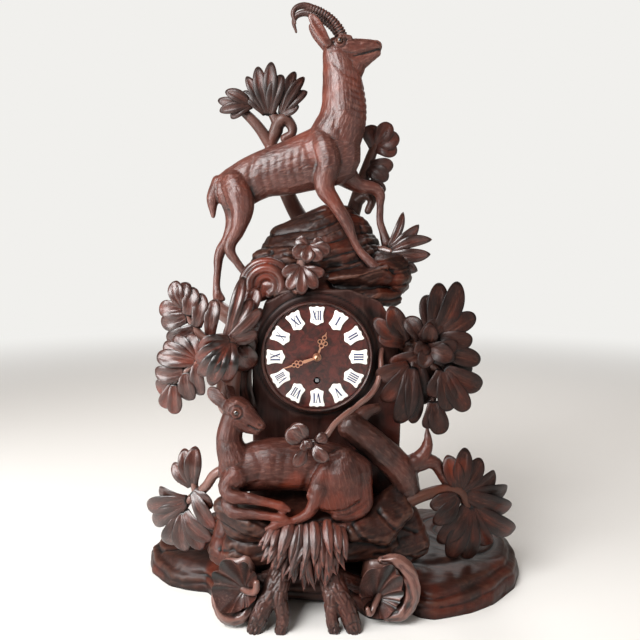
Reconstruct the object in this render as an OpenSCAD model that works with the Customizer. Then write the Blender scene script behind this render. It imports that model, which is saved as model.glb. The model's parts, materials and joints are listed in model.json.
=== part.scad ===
// Carved wooden mantel clock with a drum movement. Millimetres, +Z up, the front faces -Y.
// The origin is on the floor, straight below the axis of the dial.

/* [Clock case] */
// Height of the dial's centre above the floor
dial_height = 246; // [242:1:250]
// From the dial's centre line to the left side of the case
case_left = 66; // [65:1:70]
// From the dial's centre line to the right side of the case
case_right = 86; // [82:1:90]
// From the middle of the object forward to the case's front face
case_front = 62; // [60:1:64]
// From the middle of the object back to the case's rear face
case_rear = 62; // [58:1:66]
// Height at which the case stands on the base rock
case_floor = 38; // [34:1:40]
// Radius of the rear chamber around the movement
chamber_r = 58; // [56:0.5:59]
// Wood left over the rear chamber
crown_wall = 8; // [7:0.5:10]

/* [Dial] */
// Radius of the burl dial plate
dial_r = 52; // [51.5:0.25:53]
// Thickness of the dial plate
dial_t = 4; // [3:0.5:5]
// Width of the turned bezel ring
bezel_w = 3.2; // [2.5:0.1:4]
// Height of the bezel in front of the case
bezel_h = 16; // [14:0.5:18]
// Radius of the ring of enamel cartouches
cartouche_ring_r = 41; // [40:0.5:41.5]
// Radial height of a cartouche
cartouche_h = 19; // [17:0.5:19.5]
// Thickness of a cartouche
cartouche_t = 1.6; // [1:0.1:2.5]

/* [Movement] */
// Radius of the two movement plates
plate_r = 46; // [45.5:0.25:47]
// Thickness of each plate
plate_t = 2; // [1.6:0.1:2.5]
// Length of the pillars between the plates
pillar_l = 38; // [37:0.5:40]
// Free space between a plate's edge and the drum bore in the case
drum_gap = 3; // [2:0.25:3.5]
// From the front plate to the back of the dial plate
dial_gap = 10; // [9.5:0.25:12]
// Radial running clearance of every arbor in its hole
run = 0.05; // [0.03:0.01:0.08]
// Teeth of the mainspring barrel
barrel_teeth = 84; // [80:2:84]
// Teeth of the pinion on the centre arbor
centre_pinion_teeth = 12; // [12:1:14]
// Tooth module of the barrel and its pinion
barrel_m = 0.5; // [0.48:0.01:0.52]
// Teeth of the centre wheel
centre_teeth = 96; // [92:2:100]
// Teeth of the third wheel's pinion
third_pinion_teeth = 8; // [8:1:9]
// Tooth module of the centre wheel
centre_m = 0.35; // [0.34:0.01:0.36]
// Teeth of the third wheel
third_teeth = 80; // [76:2:84]
// Teeth of the escape wheel's pinion
escape_pinion_teeth = 8; // [8:1:9]
// Tooth module of the third wheel
third_m = 0.3; // [0.29:0.005:0.31]
// Teeth of the escape wheel
escape_teeth = 40; // [36:2:42]
// Radius of the escape wheel over its teeth
escape_r = 9; // [8.8:0.1:9.2]
// Height of the escape arbor above the centre arbor
escape_rise = 20; // [19.8:0.1:20.4]
// Height of the pallet arbor above the escape arbor
pallet_rise = 13; // [12.9:0.1:13.4]

/* [Motion work] */
// Distance from the centre arbor to the minute wheel's stud
motion_d = 12; // [11.8:0.1:12.4]
// Teeth of the cannon pinion
cannon_teeth = 12; // [11:1:13]
// Teeth of the minute wheel
minute_teeth = 36; // [35:1:37]
// Teeth of the minute wheel's pinion
minute_pinion_teeth = 10; // [10:1:11]
// Teeth of the hour wheel
hour_teeth = 40; // [39:1:41]

/* [Hands] */
// Reach of the minute hand
minute_reach = 36; // [34:0.5:37]
// Reach of the hour hand
hour_reach = 27; // [25:0.5:28]
// Thickness of each hand
hand_t = 0.8; // [0.6:0.1:1]
// Angle of the minute hand at rest, clockwise from twelve
minute_angle = 252; // [0:1:359]
// Angle of the hour hand at rest, clockwise from twelve
hour_angle = 21; // [0:1:359]

/* [Pendulum] */
// From the suspension pin to the middle of the bob
pendulum_l = 140; // [136:1:142]
// Radius of the bob
bob_r = 17; // [15:0.5:18]
// Half thickness of the bob
bob_half = 4; // [3:0.5:5]
// Half width of the pendulum's slot below the rear chamber
slot_half = 28; // [27:0.5:32]

/* [Back door] */
// Thickness of the door
door_t = 8; // [7:0.5:9]
// Half width of the door, and radius of its arch
door_r = 62; // [61:0.25:62.5]
// Radius of the hinge pins
hinge_pin_r = 0.9; // [0.8:0.05:1]
// Radius of the hinge knuckles
knuckle_r = 2.2; // [2:0.1:2.3]
// Length of the turn button
button_l = 22; // [18:1:24]

/* [Hidden] */

dark_wood = "#46281f";
mid_wood = "#5a3327";
burl = "#4a1c12";
brass = "#c9a24a";
steel = "#8f9499";
gilt = "#d8a184";
enamel = "#f4f2ea";
glass = "#20140f";

round_fn = 64; // sides drawn on turned metal and wood
fine_fn = 32; // sides drawn on thin arbors and screws
seat = 0.02; // gap of a seated fit, a side
near = 0.2; // gap between parts that pass each other

// Planes of the movement, from the front of the case to the back
plate_inset = 2;
fp = -case_front + plate_inset; // front face of the front plate
bp = fp + plate_t + pillar_l; // front face of the back plate
bp_back = bp + plate_t; // rear face of the back plate, level with the chamber's floor
dial_back = fp - dial_gap;
dial_face = dial_back - dial_t;
drum_r = plate_r + drum_gap;
case_top = dial_height + chamber_r + crown_wall;
bezel_in_r = dial_r + 0.4;
bezel_out_r = bezel_in_r + bezel_w;

// Places of the arbors, as [x, z] from the dial's centre
barrel_pitch_r = barrel_teeth * barrel_m / 2;
centre_pinion_pitch_r = centre_pinion_teeth * barrel_m / 2;
barrel_at = [0, -(barrel_pitch_r + centre_pinion_pitch_r)];
centre_d = (centre_teeth + third_pinion_teeth) * centre_m / 2;
third_d = (third_teeth + escape_pinion_teeth) * third_m / 2;
third_lean = acos((pow(centre_d, 2) + pow(escape_rise, 2) - pow(third_d, 2)) / (2 * centre_d * escape_rise));
third_at = centre_d * [sin(third_lean), cos(third_lean)];
escape_at = [0, escape_rise];
pallet_at = [0, escape_rise + pallet_rise];
minute_at = motion_d * [-sin(45), cos(45)];
motion_m = 2 * motion_d / (cannon_teeth + minute_teeth);
hour_m = 2 * motion_d / (minute_pinion_teeth + hour_teeth);

// Radii of the arbors
centre_arbor_r = 1.2;
hand_arbor_r = centre_arbor_r - 0.1; // front end of the centre arbor, in the cannon pinion
barrel_pivot_r = 1.4;
winding_r = 2.4;
third_arbor_r = 0.8;
escape_arbor_r = 0.7;
pallet_arbor_r = 0.8;
cannon_pipe_r = 1.8;
hour_pipe_r = 2.7;
nut_r = 3.6;
winding_hole_r = 3.5;
square_w = 3.4;

pillar_ring_r = 39;
pillar_r = 2.5;
foot_ring_r = 40;
foot_r = 1.6;
foot_angles = [20, 160, 200, 340];
pillar_angles = [45, 135, 225, 315];

ratchet_teeth = 24;
ratchet_r = 8;
ratchet_t = 2;
click_at = barrel_at + [12.6, 7.4]; // pivot of the click
click_hub_r = 2;

strap_x = [34, 56]; // ends of a strap, from the centre line
strap_h = 12;
strap_t = 2;
plate_screw_x = 41;
case_screw_x = 53;
screw_r = 1.2;
screw_head_r = 2.4;
screw_l = 10;

pin_at_y = -6; // rear end of the suspension pin
pin_r = 1;
rod_y = -10;
rod_r = 0.9;
crutch_l = 38;
nut_drop = 3;
nut_h = 4;
slot_floor = dial_height + pallet_at[1] - pendulum_l - bob_r - nut_drop - nut_h - 8;

door_front = case_rear + near;
door_back = door_front + door_t;
door_lip = 4; // from the door's edge out to the hinge leaves
knob_inset = 14; // from the door's edge in to its knob
button_out = 8; // from the door's edge out to the turn button
hinge_leaf_t = 1;
hinge_leaf_l = 14;
hinge_x = -max(door_r + door_lip, case_left) - hinge_leaf_t;
hinge_y = case_rear + 4.2;
hinge_heights = [130, 225];
hinge_half = 9;
knuckle_half = 2.8;
button_at = [door_r + button_out, 180];
button_screw_r = 1.5;

// Helpers for shapes drawn as seen from the front, x to the right and z up
module front_view(y1, y2) {
  translate([0, y2, 0]) rotate([90, 0, 0]) linear_extrude(height = y2 - y1) children();
}
module rod_at(at, y1, y2, r, fn = fine_fn) {
  translate([at[0], y2, at[1]]) rotate([90, 0, 0]) cylinder(h = y2 - y1, r = r, $fn = fn);
}
module at_dial() {
  translate([0, 0, dial_height]) children();
}
module on_summit() {
  translate([0, 0, case_top]) children();
}
module beside_left() {
  translate([-case_left, -case_front, dial_height]) children();
}
module beside_right() {
  translate([case_right, -case_front, dial_height]) children();
}

// Toothed outline. The widths are half widths of a tooth, as shares of the pitch
module toothed(n, m, root, tip, w_root, w_pitch, w_tip, turn = 0) {
  r = n * m / 2;
  p = 360 / n;
  polygon([for (i = [0:n - 1]) let (a = i * p + turn) each [
    (r - root * m) * [cos(a - w_root * p), sin(a - w_root * p)],
    r * [cos(a - w_pitch * p), sin(a - w_pitch * p)],
    (r + tip * m) * [cos(a - w_tip * p), sin(a - w_tip * p)],
    (r + tip * m) * [cos(a + w_tip * p), sin(a + w_tip * p)],
    r * [cos(a + w_pitch * p), sin(a + w_pitch * p)],
    (r - root * m) * [cos(a + w_root * p), sin(a + w_root * p)]]]);
}
module wheel_teeth(n, m, turn = 0) toothed(n, m, 1.3, 1, 0.21, 0.2, 0.08, turn);
module pinion_leaves(n, m, turn = 0) toothed(n, m, 1.4, 0.7, 0.12, 0.16, 0.08, turn);
// Turn of a pinion whose leaves stand in the gaps of a wheel at the given direction
function in_mesh(direction, wheel_n, pinion_n, wheel_turn = 0) =
  direction + 180 + 360 / pinion_n * ((direction - wheel_turn) * wheel_n / 360 - 0.5);
function direction_of(v) = atan2(v[1], v[0]);
// Spoked wheel outline: rim, hub and four arms
module crossings(rim_r, hub_r, arm_w) {
  difference() {
    circle(r = rim_r, $fn = round_fn);
    circle(r = hub_r, $fn = fine_fn);
    for (a = [0, 90]) rotate(a) square([2 * rim_r, arm_w], center = true);
  }
}

// Carving helpers. A path is a list of [x, y, z, radius]
function spot(p) = [p[0], p[1], p[2]];
function unit(v) = v / norm(v);
module link(p, q, sides) {
  hull() {
    translate(spot(p)) sphere(r = p[3], $fn = sides);
    translate(spot(q)) sphere(r = q[3], $fn = sides);
  }
}
module limb(path, sides = 5) {
  for (i = [0:len(path) - 2]) link(path[i], path[i + 1], sides);
}
// One slab of rock: the hull of a few knobs, given as [x, y, z, radius]
module slab(knobs, sides = 5) {
  hull() for (k = knobs) translate(spot(k)) sphere(r = k[3], $fn = sides);
}
// Flattens a body towards the plane y = middle
module squeeze(middle, share) {
  translate([0, middle, 0]) scale([1, share, 1]) translate([0, -middle, 0]) children();
}
// A carved leaf finger from base to tip: cupped towards its face, bowed along its length
lobe_steps = 2;
lobe_shape = [0, 0.92, 0.8];
function lobe_ring(c, side, out, w, t, cup) = [
  c - side * w + out * cup * w, c + out * t, c + side * w + out * cup * w, c - out * t];
module lobe(base, tip, width, thick = 3, bow = 0.12, cup = 0.35, face = [0, -1, 0]) {
  along = unit(tip - base);
  side = unit(cross(along, face));
  out = cross(side, along);
  reach = norm(tip - base);
  rings = [for (i = [1:lobe_steps]) let (t = i / (lobe_steps + 1))
    lobe_ring(base + along * reach * t + out * reach * bow * 4 * t * (1 - t), side, out,
              width / 2 * lobe_shape[i], thick / 2 * (1.3 - 0.6 * t), cup)];
  points = concat([base], [for (r = rings) each r], [tip]);
  last = len(points) - 1;
  polyhedron(points, concat(
    [for (j = [0:3]) [0, 1 + j, 1 + (j + 1) % 4]],
    [for (i = [0:lobe_steps - 2], j = [0:3]) each [
      [1 + 4 * i + j, 5 + 4 * i + j, 1 + 4 * i + (j + 1) % 4],
      [1 + 4 * i + (j + 1) % 4, 5 + 4 * i + j, 5 + 4 * i + (j + 1) % 4]]],
    [for (j = [0:3]) [last, last - 4 + (j + 1) % 4, last - 4 + j]]));
}
module lobes(base, tips, width, thick = 3, bow = 0.12, cup = 0.35, face = [0, -1, 0]) {
  translate(base) sphere(r = thick * 1.3, $fn = 4);
  for (t = tips) lobe(base, t, width, thick, bow, cup, face);
}

// The case as a solid without its bores, which the carvings around it are fitted to
module case_block() {
  front_view(-case_front, case_rear) polygon([
    [-case_left + 6, case_floor], [-case_left, 110], [-case_left, dial_height + 18],
    [-case_left + 14, case_top - 13], [-26, case_top], [34, case_top], [64, case_top - 12],
    [case_right - 4, dial_height + 24], [case_right, 200], [case_right - 2, 120],
    [case_right - 12, case_floor]]);
}
module dial_clearance() {
  at_dial() rod_at([0, 0], -case_front - bezel_h - 20, -case_front + 1, bezel_out_r + near, round_fn);
}

module clock_case() {
  color(dark_wood) difference() {
    case_block();
    at_dial() {
      rod_at([0, 0], -case_front - 1, case_rear + 1, drum_r, round_fn);
      rod_at([0, 0], bp_back, case_rear + 1, chamber_r, round_fn);
      for (s = [-1, 1]) rod_at([s * case_screw_x, 0], bp_back - screw_l, bp_back + 1, screw_r + run);
    }
    translate([-slot_half, bp_back, slot_floor])
      cube([2 * slot_half, case_rear + 1 - bp_back, dial_height - slot_floor]);
    rod_at(button_at, case_rear - screw_l, case_rear + 1, button_screw_r + run);
  }
}

module dial_bezel() {
  color(dark_wood) at_dial() translate([0, -case_front, 0]) rotate([90, 0, 0]) rotate_extrude($fn = round_fn)
    polygon([[bezel_in_r, 0], [bezel_out_r, 0], [bezel_out_r, bezel_h - 3],
      [bezel_out_r - 0.8, bezel_h - 0.6],
      [bezel_out_r - bezel_w / 2, bezel_h], [bezel_in_r + 0.6, bezel_h - 0.8],
        [bezel_in_r, bezel_h - 2.4]]);
}
module dial_plate() {
  color(burl) at_dial() difference() {
    rod_at([0, 0], dial_face, dial_back, dial_r, round_fn);
    rod_at([0, 0], dial_face - 1, dial_back + 1, hour_pipe_r + 1);
    rod_at(barrel_at, dial_face - 1, dial_back + 1, winding_hole_r);
  }
}
// Shield with a waist, drawn for a height of 20 and scaled to the cartouche's own height
cartouche_half = [[0, 10], [3.4, 8.7], [7.6, 9], [8.3, 7.4], [6.4, 3.2], [5.8, -1.2], [6.6, -5.4],
  [6.9, -7.4], [3.6, -7.9], [0, -9.8]];
module cartouche() {
  last = len(cartouche_half) - 1;
  polygon(cartouche_h / 20 * concat(cartouche_half,
    [for (i = [last - 1:-1:1]) [-cartouche_half[i][0], cartouche_half[i][1]]]));
}
module numeral_cartouches() {
  color(enamel) at_dial() front_view(dial_face - cartouche_t, dial_face)
    for (i = [0:11]) rotate(-30 * i) translate([0, cartouche_ring_r]) cartouche();
}
module dial_feet() {
  color(brass) at_dial() for (a = foot_angles) {
    at = foot_ring_r * [cos(a), sin(a)];
    rod_at(at, dial_back, fp, foot_r);
    rod_at(at, dial_back, dial_back + 1, foot_r * 2);
    rod_at(at, fp - 1, fp + plate_t, foot_r / 2);
  }
}

module plate_outline() {
  difference() {
    circle(r = plate_r, $fn = round_fn);
    for (a = pillar_angles) translate(pillar_ring_r * [cos(a), sin(a)])
      circle(r = pillar_r / 2 + seat, $fn = fine_fn);
    translate(third_at) circle(r = third_arbor_r + run, $fn = fine_fn);
    translate(escape_at) circle(r = escape_arbor_r + run, $fn = fine_fn);
    translate(pallet_at) circle(r = pallet_arbor_r + run, $fn = fine_fn);
    circle(r = centre_arbor_r + run, $fn = fine_fn);
  }
}
module front_plate() {
  color(brass) at_dial() {
    difference() {
      front_view(fp, fp + plate_t) plate_outline();
      rod_at(barrel_at, fp - 1, fp + plate_t + 1, winding_r + run);
      for (a = foot_angles)
        rod_at(foot_ring_r * [cos(a), sin(a)], fp - 1, fp + plate_t + 1, foot_r / 2 + seat);
    }
    // studs for the minute wheel and for the click
    rod_at(minute_at, minute_wheel_back + near / 2, fp, 2);
    rod_at(minute_at, hour_wheel_front - 0.6, fp, 0.9);
    rod_at(click_at, ratchet_back - ratchet_t - 0.4, fp, 0.9);
  }
}
module back_plate() {
  color(brass) at_dial() difference() {
    front_view(bp, bp_back) plate_outline();
    rod_at(barrel_at, bp - 1, bp_back + 1, barrel_pivot_r + run);
    for (s = [-1, 1]) rod_at([s * plate_screw_x, 0], bp - 1, bp_back + 1, screw_r + run);
    for (s = [-1, 1]) rod_at([s * cock_screw_x, cock_screw_z], bp - 1, bp_back + 1, 0.8 + seat);
  }
}
module plate_pillars() {
  color(brass) at_dial() for (a = pillar_angles) {
    at = pillar_ring_r * [cos(a), sin(a)];
    rod_at(at, fp + plate_t, bp, pillar_r);
    rod_at(at, fp, bp_back, pillar_r / 2);
  }
}

// Barrel: a drum with its toothed flange at the rear, closed by a cap
flange_back = -33.5;
flange_t = 2.5;
drum_out_r = barrel_pitch_r - 1.6;
drum_wall = 0.8;
drum_l = 19;
flange_front = flange_back - flange_t;
drum_front = flange_front - drum_l;
cap_t = 1;
module mainspring_barrel() {
  color(brass) at_dial() translate([barrel_at[0], 0, barrel_at[1]]) difference() {
    union() {
      front_view(flange_front, flange_back) wheel_teeth(barrel_teeth, barrel_m, 90);
      rod_at([0, 0], drum_front, flange_front, drum_out_r, round_fn);
    }
    rod_at([0, 0], drum_front - 1, flange_front - 0.5, drum_out_r - drum_wall, round_fn);
    rod_at([0, 0], drum_front - 1, flange_back + 1, barrel_pivot_r + run);
  }
}
module barrel_cap() {
  color(brass) at_dial() difference() {
    rod_at(barrel_at, drum_front, drum_front + cap_t, drum_out_r - drum_wall - seat, round_fn);
    rod_at(barrel_at, drum_front - 1, drum_front + cap_t + 1, winding_r + run);
  }
}
// Flat spiral, drawn as one strip
core_r = 5;
spring_turns = 7;
spring_t = 0.4;
spring_in_r = core_r + 0.3;
spring_out_r = drum_out_r - drum_wall - spring_t - 0.2;
spring_steps = 20;
function spiral(extra) = [for (i = [0:spring_turns * spring_steps])
  let (t = i / (spring_turns * spring_steps), r = spring_in_r + (spring_out_r - spring_in_r) * t + extra)
  r * [cos(360 * spring_turns * t), sin(360 * spring_turns * t)]];
function backwards(list) = [for (i = [len(list) - 1:-1:0]) list[i]];
module mainspring() {
  color(steel) at_dial() translate([barrel_at[0], 0, barrel_at[1]])
    front_view(drum_front + cap_t + 0.8, flange_front - 1.3)
      polygon(concat(spiral(0), backwards(spiral(spring_t))));
}
ratchet_back = fp - 0.3;
square_front = dial_face + 1.5;
module winding_arbor() {
  color(steel) at_dial() {
    rod_at(barrel_at, drum_front + cap_t + 0.4, flange_front - 0.9, core_r, round_fn);
    rod_at(barrel_at, ratchet_back - ratchet_t - 0.6, drum_front + cap_t + 0.4, winding_r);
    rod_at(barrel_at, flange_front - 0.9, bp_back, barrel_pivot_r);
    front_view(square_front, ratchet_back - ratchet_t - 0.6)
      translate(barrel_at) square(square_w, center = true);
  }
}
module ratchet_wheel() {
  p = 360 / ratchet_teeth;
  color(steel) at_dial() difference() {
    front_view(ratchet_back - ratchet_t, ratchet_back) translate(barrel_at)
      polygon([for (i = [0:ratchet_teeth - 1]) each [
        ratchet_r * [cos(i * p), sin(i * p)], (ratchet_r - 1.1) * [cos(i * p + 1), sin(i * p + 1)],
        (ratchet_r - 1) * [cos(i * p + 3), sin(i * p + 3)]]]);
    rod_at(barrel_at, ratchet_back - ratchet_t - 1, ratchet_back + 1, winding_r + seat);
  }
}
module click() {
  color(steel) at_dial() difference() {
    front_view(ratchet_back - ratchet_t, ratchet_back) {
      translate(click_at) circle(r = click_hub_r, $fn = fine_fn);
      translate(barrel_at) polygon([[12.6, 9.3], [6, 7.4], [5.8, 5.82], [7.4, 5], [12.6, 5.5]]);
    }
    rod_at(click_at, ratchet_back - ratchet_t - 1, ratchet_back + 1, 0.9 + run);
  }
}
module click_spring() {
  color(steel) at_dial() translate([barrel_at[0], 0, barrel_at[1]]) {
    front_view(ratchet_back - ratchet_t, ratchet_back) {
      polygon([[8, 8.3], [14, 10.1], [20, 14], [19.7, 14.6], [13.8, 10.8], [8, 9]]);
      translate([21, 14.8]) circle(r = 2.2, $fn = fine_fn);
    }
    rod_at([21, 14.8], ratchet_back, fp, 2.2);
  }
}

// Going train
centre_wheel_back = -28.5;
third_wheel_back = -42.8;
escape_wheel_back = -23.2;
nut_back = hand_front(1) - 0.2;
module centre_wheel() {
  arbor_front = nut_back - 3;
  color(brass) at_dial() {
    front_view(centre_wheel_back - 1.5, centre_wheel_back) difference() {
      wheel_teeth(centre_teeth, centre_m);
      crossings(centre_teeth * centre_m / 2 - 2.4, 4.5, 2.6);
    }
    front_view(flange_front - 1, flange_back + 1)
      pinion_leaves(centre_pinion_teeth, barrel_m, in_mesh(90, barrel_teeth, centre_pinion_teeth, 90));
    rod_at([0, 0], arbor_front, fp, hand_arbor_r);
    rod_at([0, 0], fp, bp_back, centre_arbor_r);
  }
}
module third_wheel() {
  color(brass) at_dial() {
    translate([third_at[0], 0, third_at[1]]) {
      front_view(third_wheel_back - 1.2, third_wheel_back) difference() {
        wheel_teeth(third_teeth, third_m);
        crossings(third_teeth * third_m / 2 - 2, 3, 2);
      }
      front_view(centre_wheel_back - 3, centre_wheel_back + 1.5)
        pinion_leaves(third_pinion_teeth, centre_m,
                      in_mesh(direction_of(third_at), centre_teeth, third_pinion_teeth));
      rod_at([0, 0], fp, bp_back, third_arbor_r);
    }
  }
}
module escape_wheel() {
  p = 360 / escape_teeth;
  to_escape = escape_at - third_at;
  color(brass) at_dial() translate([escape_at[0], 0, escape_at[1]]) {
    front_view(escape_wheel_back - 0.8, escape_wheel_back) difference() {
      polygon([for (i = [0:escape_teeth - 1]) each [
        escape_r * [cos(i * p), sin(i * p)], (escape_r - 1.4) * [cos(i * p + 2), sin(i * p + 2)],
        (escape_r - 1.4) * [cos(i * p + 6), sin(i * p + 6)]]]);
      crossings(escape_r - 2.6, 2.2, 1.6);
    }
    front_view(third_wheel_back - 2.7, third_wheel_back + 1.5)
      pinion_leaves(escape_pinion_teeth, third_m,
                    in_mesh(direction_of(to_escape), third_teeth, escape_pinion_teeth));
    rod_at([0, 0], fp, bp_back, escape_arbor_r);
  }
}
// Anchor over the escape wheel, with the crutch behind the back plate
crutch_y = bp_back + 1.6;
module pallet_anchor() {
  reach = escape_r + 0.75;
  pad = reach * [cos(28), sin(28)] - [0, pallet_rise];
  color(steel) at_dial() translate([pallet_at[0], 0, pallet_at[1]]) {
    front_view(escape_wheel_back - 1.2, escape_wheel_back + 0.4) {
      circle(r = 2.2, $fn = fine_fn);
      for (s = [-1, 1]) polygon([[0, 2], [s * 8.6, -0.4], [s * (pad[0] + 2), pad[1] - 0.4],
        [s * pad[0], pad[1]],
        [s * 7, -3.2], [0, -1.6]]);
    }
    rod_at([0, 0], fp, crutch_y + 2, pallet_arbor_r);
    rod_at([0, 0], crutch_y, crutch_y + 2, 2);
    front_view(crutch_y, crutch_y + 1) polygon([[-1.6, 0], [1.6, 0], [1, -crutch_l], [2.4, -crutch_l - 1],
      [2.4, -crutch_l - 3], [-2.4, -crutch_l - 3], [-2.4, -crutch_l - 1], [-1, -crutch_l]]);
    for (s = [-1, 1]) rod_at([s * (rod_r + 0.7), -crutch_l - 2], crutch_y, rod_y + 2, 0.6);
  }
}
cock_screw_x = 4.6;
cock_screw_z = pallet_at[1] + 9;
module pendulum_cock() {
  z0 = pallet_at[1];
  color(brass) at_dial() {
    difference() {
      union() {
        translate([-7, bp_back, z0 + 4]) cube([14, 2, 12]);
        translate([-3, bp_back, z0 + 5]) cube([6, pin_at_y + 2 - bp_back, 3]);
        translate([-3, pin_at_y, z0 - 3]) cube([6, 2, 11]);
      }
      for (s = [-1, 1]) rod_at([s * cock_screw_x, cock_screw_z], bp_back - 1, bp_back + 3, 0.8 + seat);
    }
    rod_at(pallet_at, rod_y - 2.2, pin_at_y, pin_r);
  }
}
bob_z = pallet_at[1] - pendulum_l;
rod_end = bob_z - bob_r - nut_drop - nut_h;
module pendulum() {
  color(brass) at_dial() {
    difference() {
      union() {
        rod_at(pallet_at, rod_y - 1.4, rod_y + 1.4, 2.6);
        translate([0, rod_y, rod_end]) cylinder(h = pallet_at[1] - 1.8 - rod_end, r = rod_r, $fn = fine_fn);
      }
      rod_at(pallet_at, rod_y - 2, rod_y + 2, pin_r + run);
    }
    translate([0, rod_y, bob_z]) rotate([90, 0, 0]) rotate_extrude($fn = round_fn)
      polygon([[0, -bob_half], [bob_r * 0.6, -bob_half * 0.85], [bob_r * 0.9, -bob_half * 0.55],
        [bob_r, -rod_r - 0.4],
        [bob_r, rod_r + 0.4], [bob_r * 0.9, bob_half * 0.55], [bob_r * 0.6, bob_half * 0.85],
          [0, bob_half]]);
  }
}
module rating_nut() {
  color(brass) at_dial() translate([0, rod_y, bob_z - bob_r - nut_drop + 1]) difference() {
    rotate([180, 0, 0]) {
      cylinder(h = nut_h, r = 3.2, $fn = fine_fn);
      translate([0, 0, nut_h]) cylinder(h = 1, r = 2.2, $fn = fine_fn);
    }
    translate([0, 0, -nut_h - 2]) cylinder(h = nut_h + 3, r = rod_r + run, $fn = fine_fn);
  }
}

// Motion work between the front plate and the dial
cannon_back = fp - 1.9;
minute_wheel_back = fp - 2.1;
minute_wheel_t = 1.6;
hour_wheel_t = 1.2;
hour_wheel_back = fp - 6.3;
hour_wheel_front = hour_wheel_back - hour_wheel_t;
function hand_front(which) = dial_face - cartouche_t - 2.2 - which * 2.8 - hand_t;
minute_tooth_turn = in_mesh(direction_of(minute_at), cannon_teeth, minute_teeth);
module cannon_pinion() {
  color(brass) at_dial() difference() {
    union() {
      front_view(cannon_back - 2, cannon_back) pinion_leaves(cannon_teeth, motion_m);
      rod_at([0, 0], hand_front(1), cannon_back, cannon_pipe_r);
    }
    rod_at([0, 0], hand_front(1) - 1, cannon_back + 1, hand_arbor_r + run);
  }
}
module minute_wheel() {
  back_to_centre = direction_of(-minute_at);
  color(brass) at_dial() translate([minute_at[0], 0, minute_at[1]]) difference() {
    union() {
      front_view(minute_wheel_back - minute_wheel_t, minute_wheel_back)
        wheel_teeth(minute_teeth, motion_m, minute_tooth_turn);
      front_view(hour_wheel_front - 0.4, minute_wheel_back - minute_wheel_t)
        pinion_leaves(minute_pinion_teeth, hour_m, back_to_centre);
    }
    rod_at([0, 0], hour_wheel_front - 2, minute_wheel_back + 1, 0.9 + run);
  }
}
module hour_wheel() {
  color(brass) at_dial() difference() {
    union() {
      front_view(hour_wheel_front, hour_wheel_back) wheel_teeth(hour_teeth, hour_m,
        in_mesh(direction_of(-minute_at), minute_pinion_teeth, hour_teeth, direction_of(-minute_at)));
      rod_at([0, 0], hand_front(0), hour_wheel_back, hour_pipe_r);
    }
    rod_at([0, 0], hand_front(0) - 1, hour_wheel_back + 1, cannon_pipe_r + run);
  }
}
module movement_straps() {
  color(brass) at_dial() for (s = [0, 180]) rotate([0, s, 0]) difference() {
    translate([strap_x[0], bp_back, -strap_h / 2]) cube([strap_x[1] - strap_x[0], strap_t, strap_h]);
    for (x = [plate_screw_x, case_screw_x]) rod_at([x, 0], bp_back - 1, bp_back + strap_t + 1, screw_r + run);
  }
}
module slotted_screw(at, y, reach, shank_r, head_r) {
  rod_at(at, y - reach, y, shank_r);
  difference() {
    rod_at(at, y, y + 1.6, head_r);
    translate([at[0] - head_r - 1, y + 0.9, at[1] - 0.3]) cube([2 * head_r + 2, 1, 0.6]);
  }
}
module movement_screws() {
  color(steel) at_dial() {
    for (s = [-1, 1]) {
      slotted_screw([s * plate_screw_x, 0], bp_back + strap_t, strap_t + plate_t, screw_r, screw_head_r);
      slotted_screw([s * case_screw_x, 0], bp_back + strap_t, strap_t + screw_l - 1, screw_r, screw_head_r);
      slotted_screw([s * cock_screw_x, cock_screw_z], bp_back + 2, 2 + plate_t, 0.8, 1.6);
    }
  }
}

// Pierced hands. They are drawn pointing up and turned to the time shown
module ring(at, r, w) {
  translate(at) difference() {
    circle(r = r, $fn = fine_fn);
    circle(r = r - w, $fn = fine_fn);
  }
}
module hand_plate(which, pipe_r, angle) {
  color(gilt) at_dial() difference() {
    front_view(hand_front(which), hand_front(which) + hand_t) rotate(-angle) children();
    rod_at([0, 0], hand_front(which) - 1, hand_front(which) + hand_t + 1, pipe_r + seat);
  }
}
module minute_hand() {
  l = minute_reach;
  hand_plate(1, cannon_pipe_r, minute_angle) {
    circle(r = 3.2, $fn = fine_fn);
    polygon([[-0.9, 2], [0.9, 2], [1.6, 0.36 * l], [1.1, 0.4 * l], [-1.1, 0.4 * l], [-1.6, 0.36 * l]]);
    ring([0, 0.47 * l], 2.6, 0.9);
    for (s = [-1, 1]) ring([s * 1.8, 0.57 * l], 2, 0.8);
    ring([0, 0.66 * l], 2.2, 0.8);
    polygon([[-1, 0.7 * l], [1, 0.7 * l], [0, l]]);
  }
}
module hour_hand() {
  l = hour_reach;
  hand_plate(0, hour_pipe_r, hour_angle) {
    circle(r = 4.2, $fn = fine_fn);
    polygon([[-1, 3], [1, 3], [0.8, 0.38 * l], [-0.8, 0.38 * l]]);
    ring([0, 0.45 * l], 2.5, 0.9);
    for (s = [-1, 1]) ring([s * 2.9, 0.58 * l], 2.4, 0.9);
    ring([0, 0.62 * l], 2.3, 0.9);
    ring([0, 0.77 * l], 2.4, 0.9);
    polygon([[-1.1, 0.85 * l], [1.1, 0.85 * l], [0, l]]);
  }
}
module hand_nut() {
  bore = hand_arbor_r + run;
  color(brass) at_dial() translate([0, hand_front(1), 0]) rotate([90, 0, 0]) rotate_extrude($fn = fine_fn)
    polygon([[bore, 0], [nut_r, 0], [nut_r, 1], [nut_r * 0.85, 2.4], [nut_r * 0.5, 3.6], [bore, 4]]);
}

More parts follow.
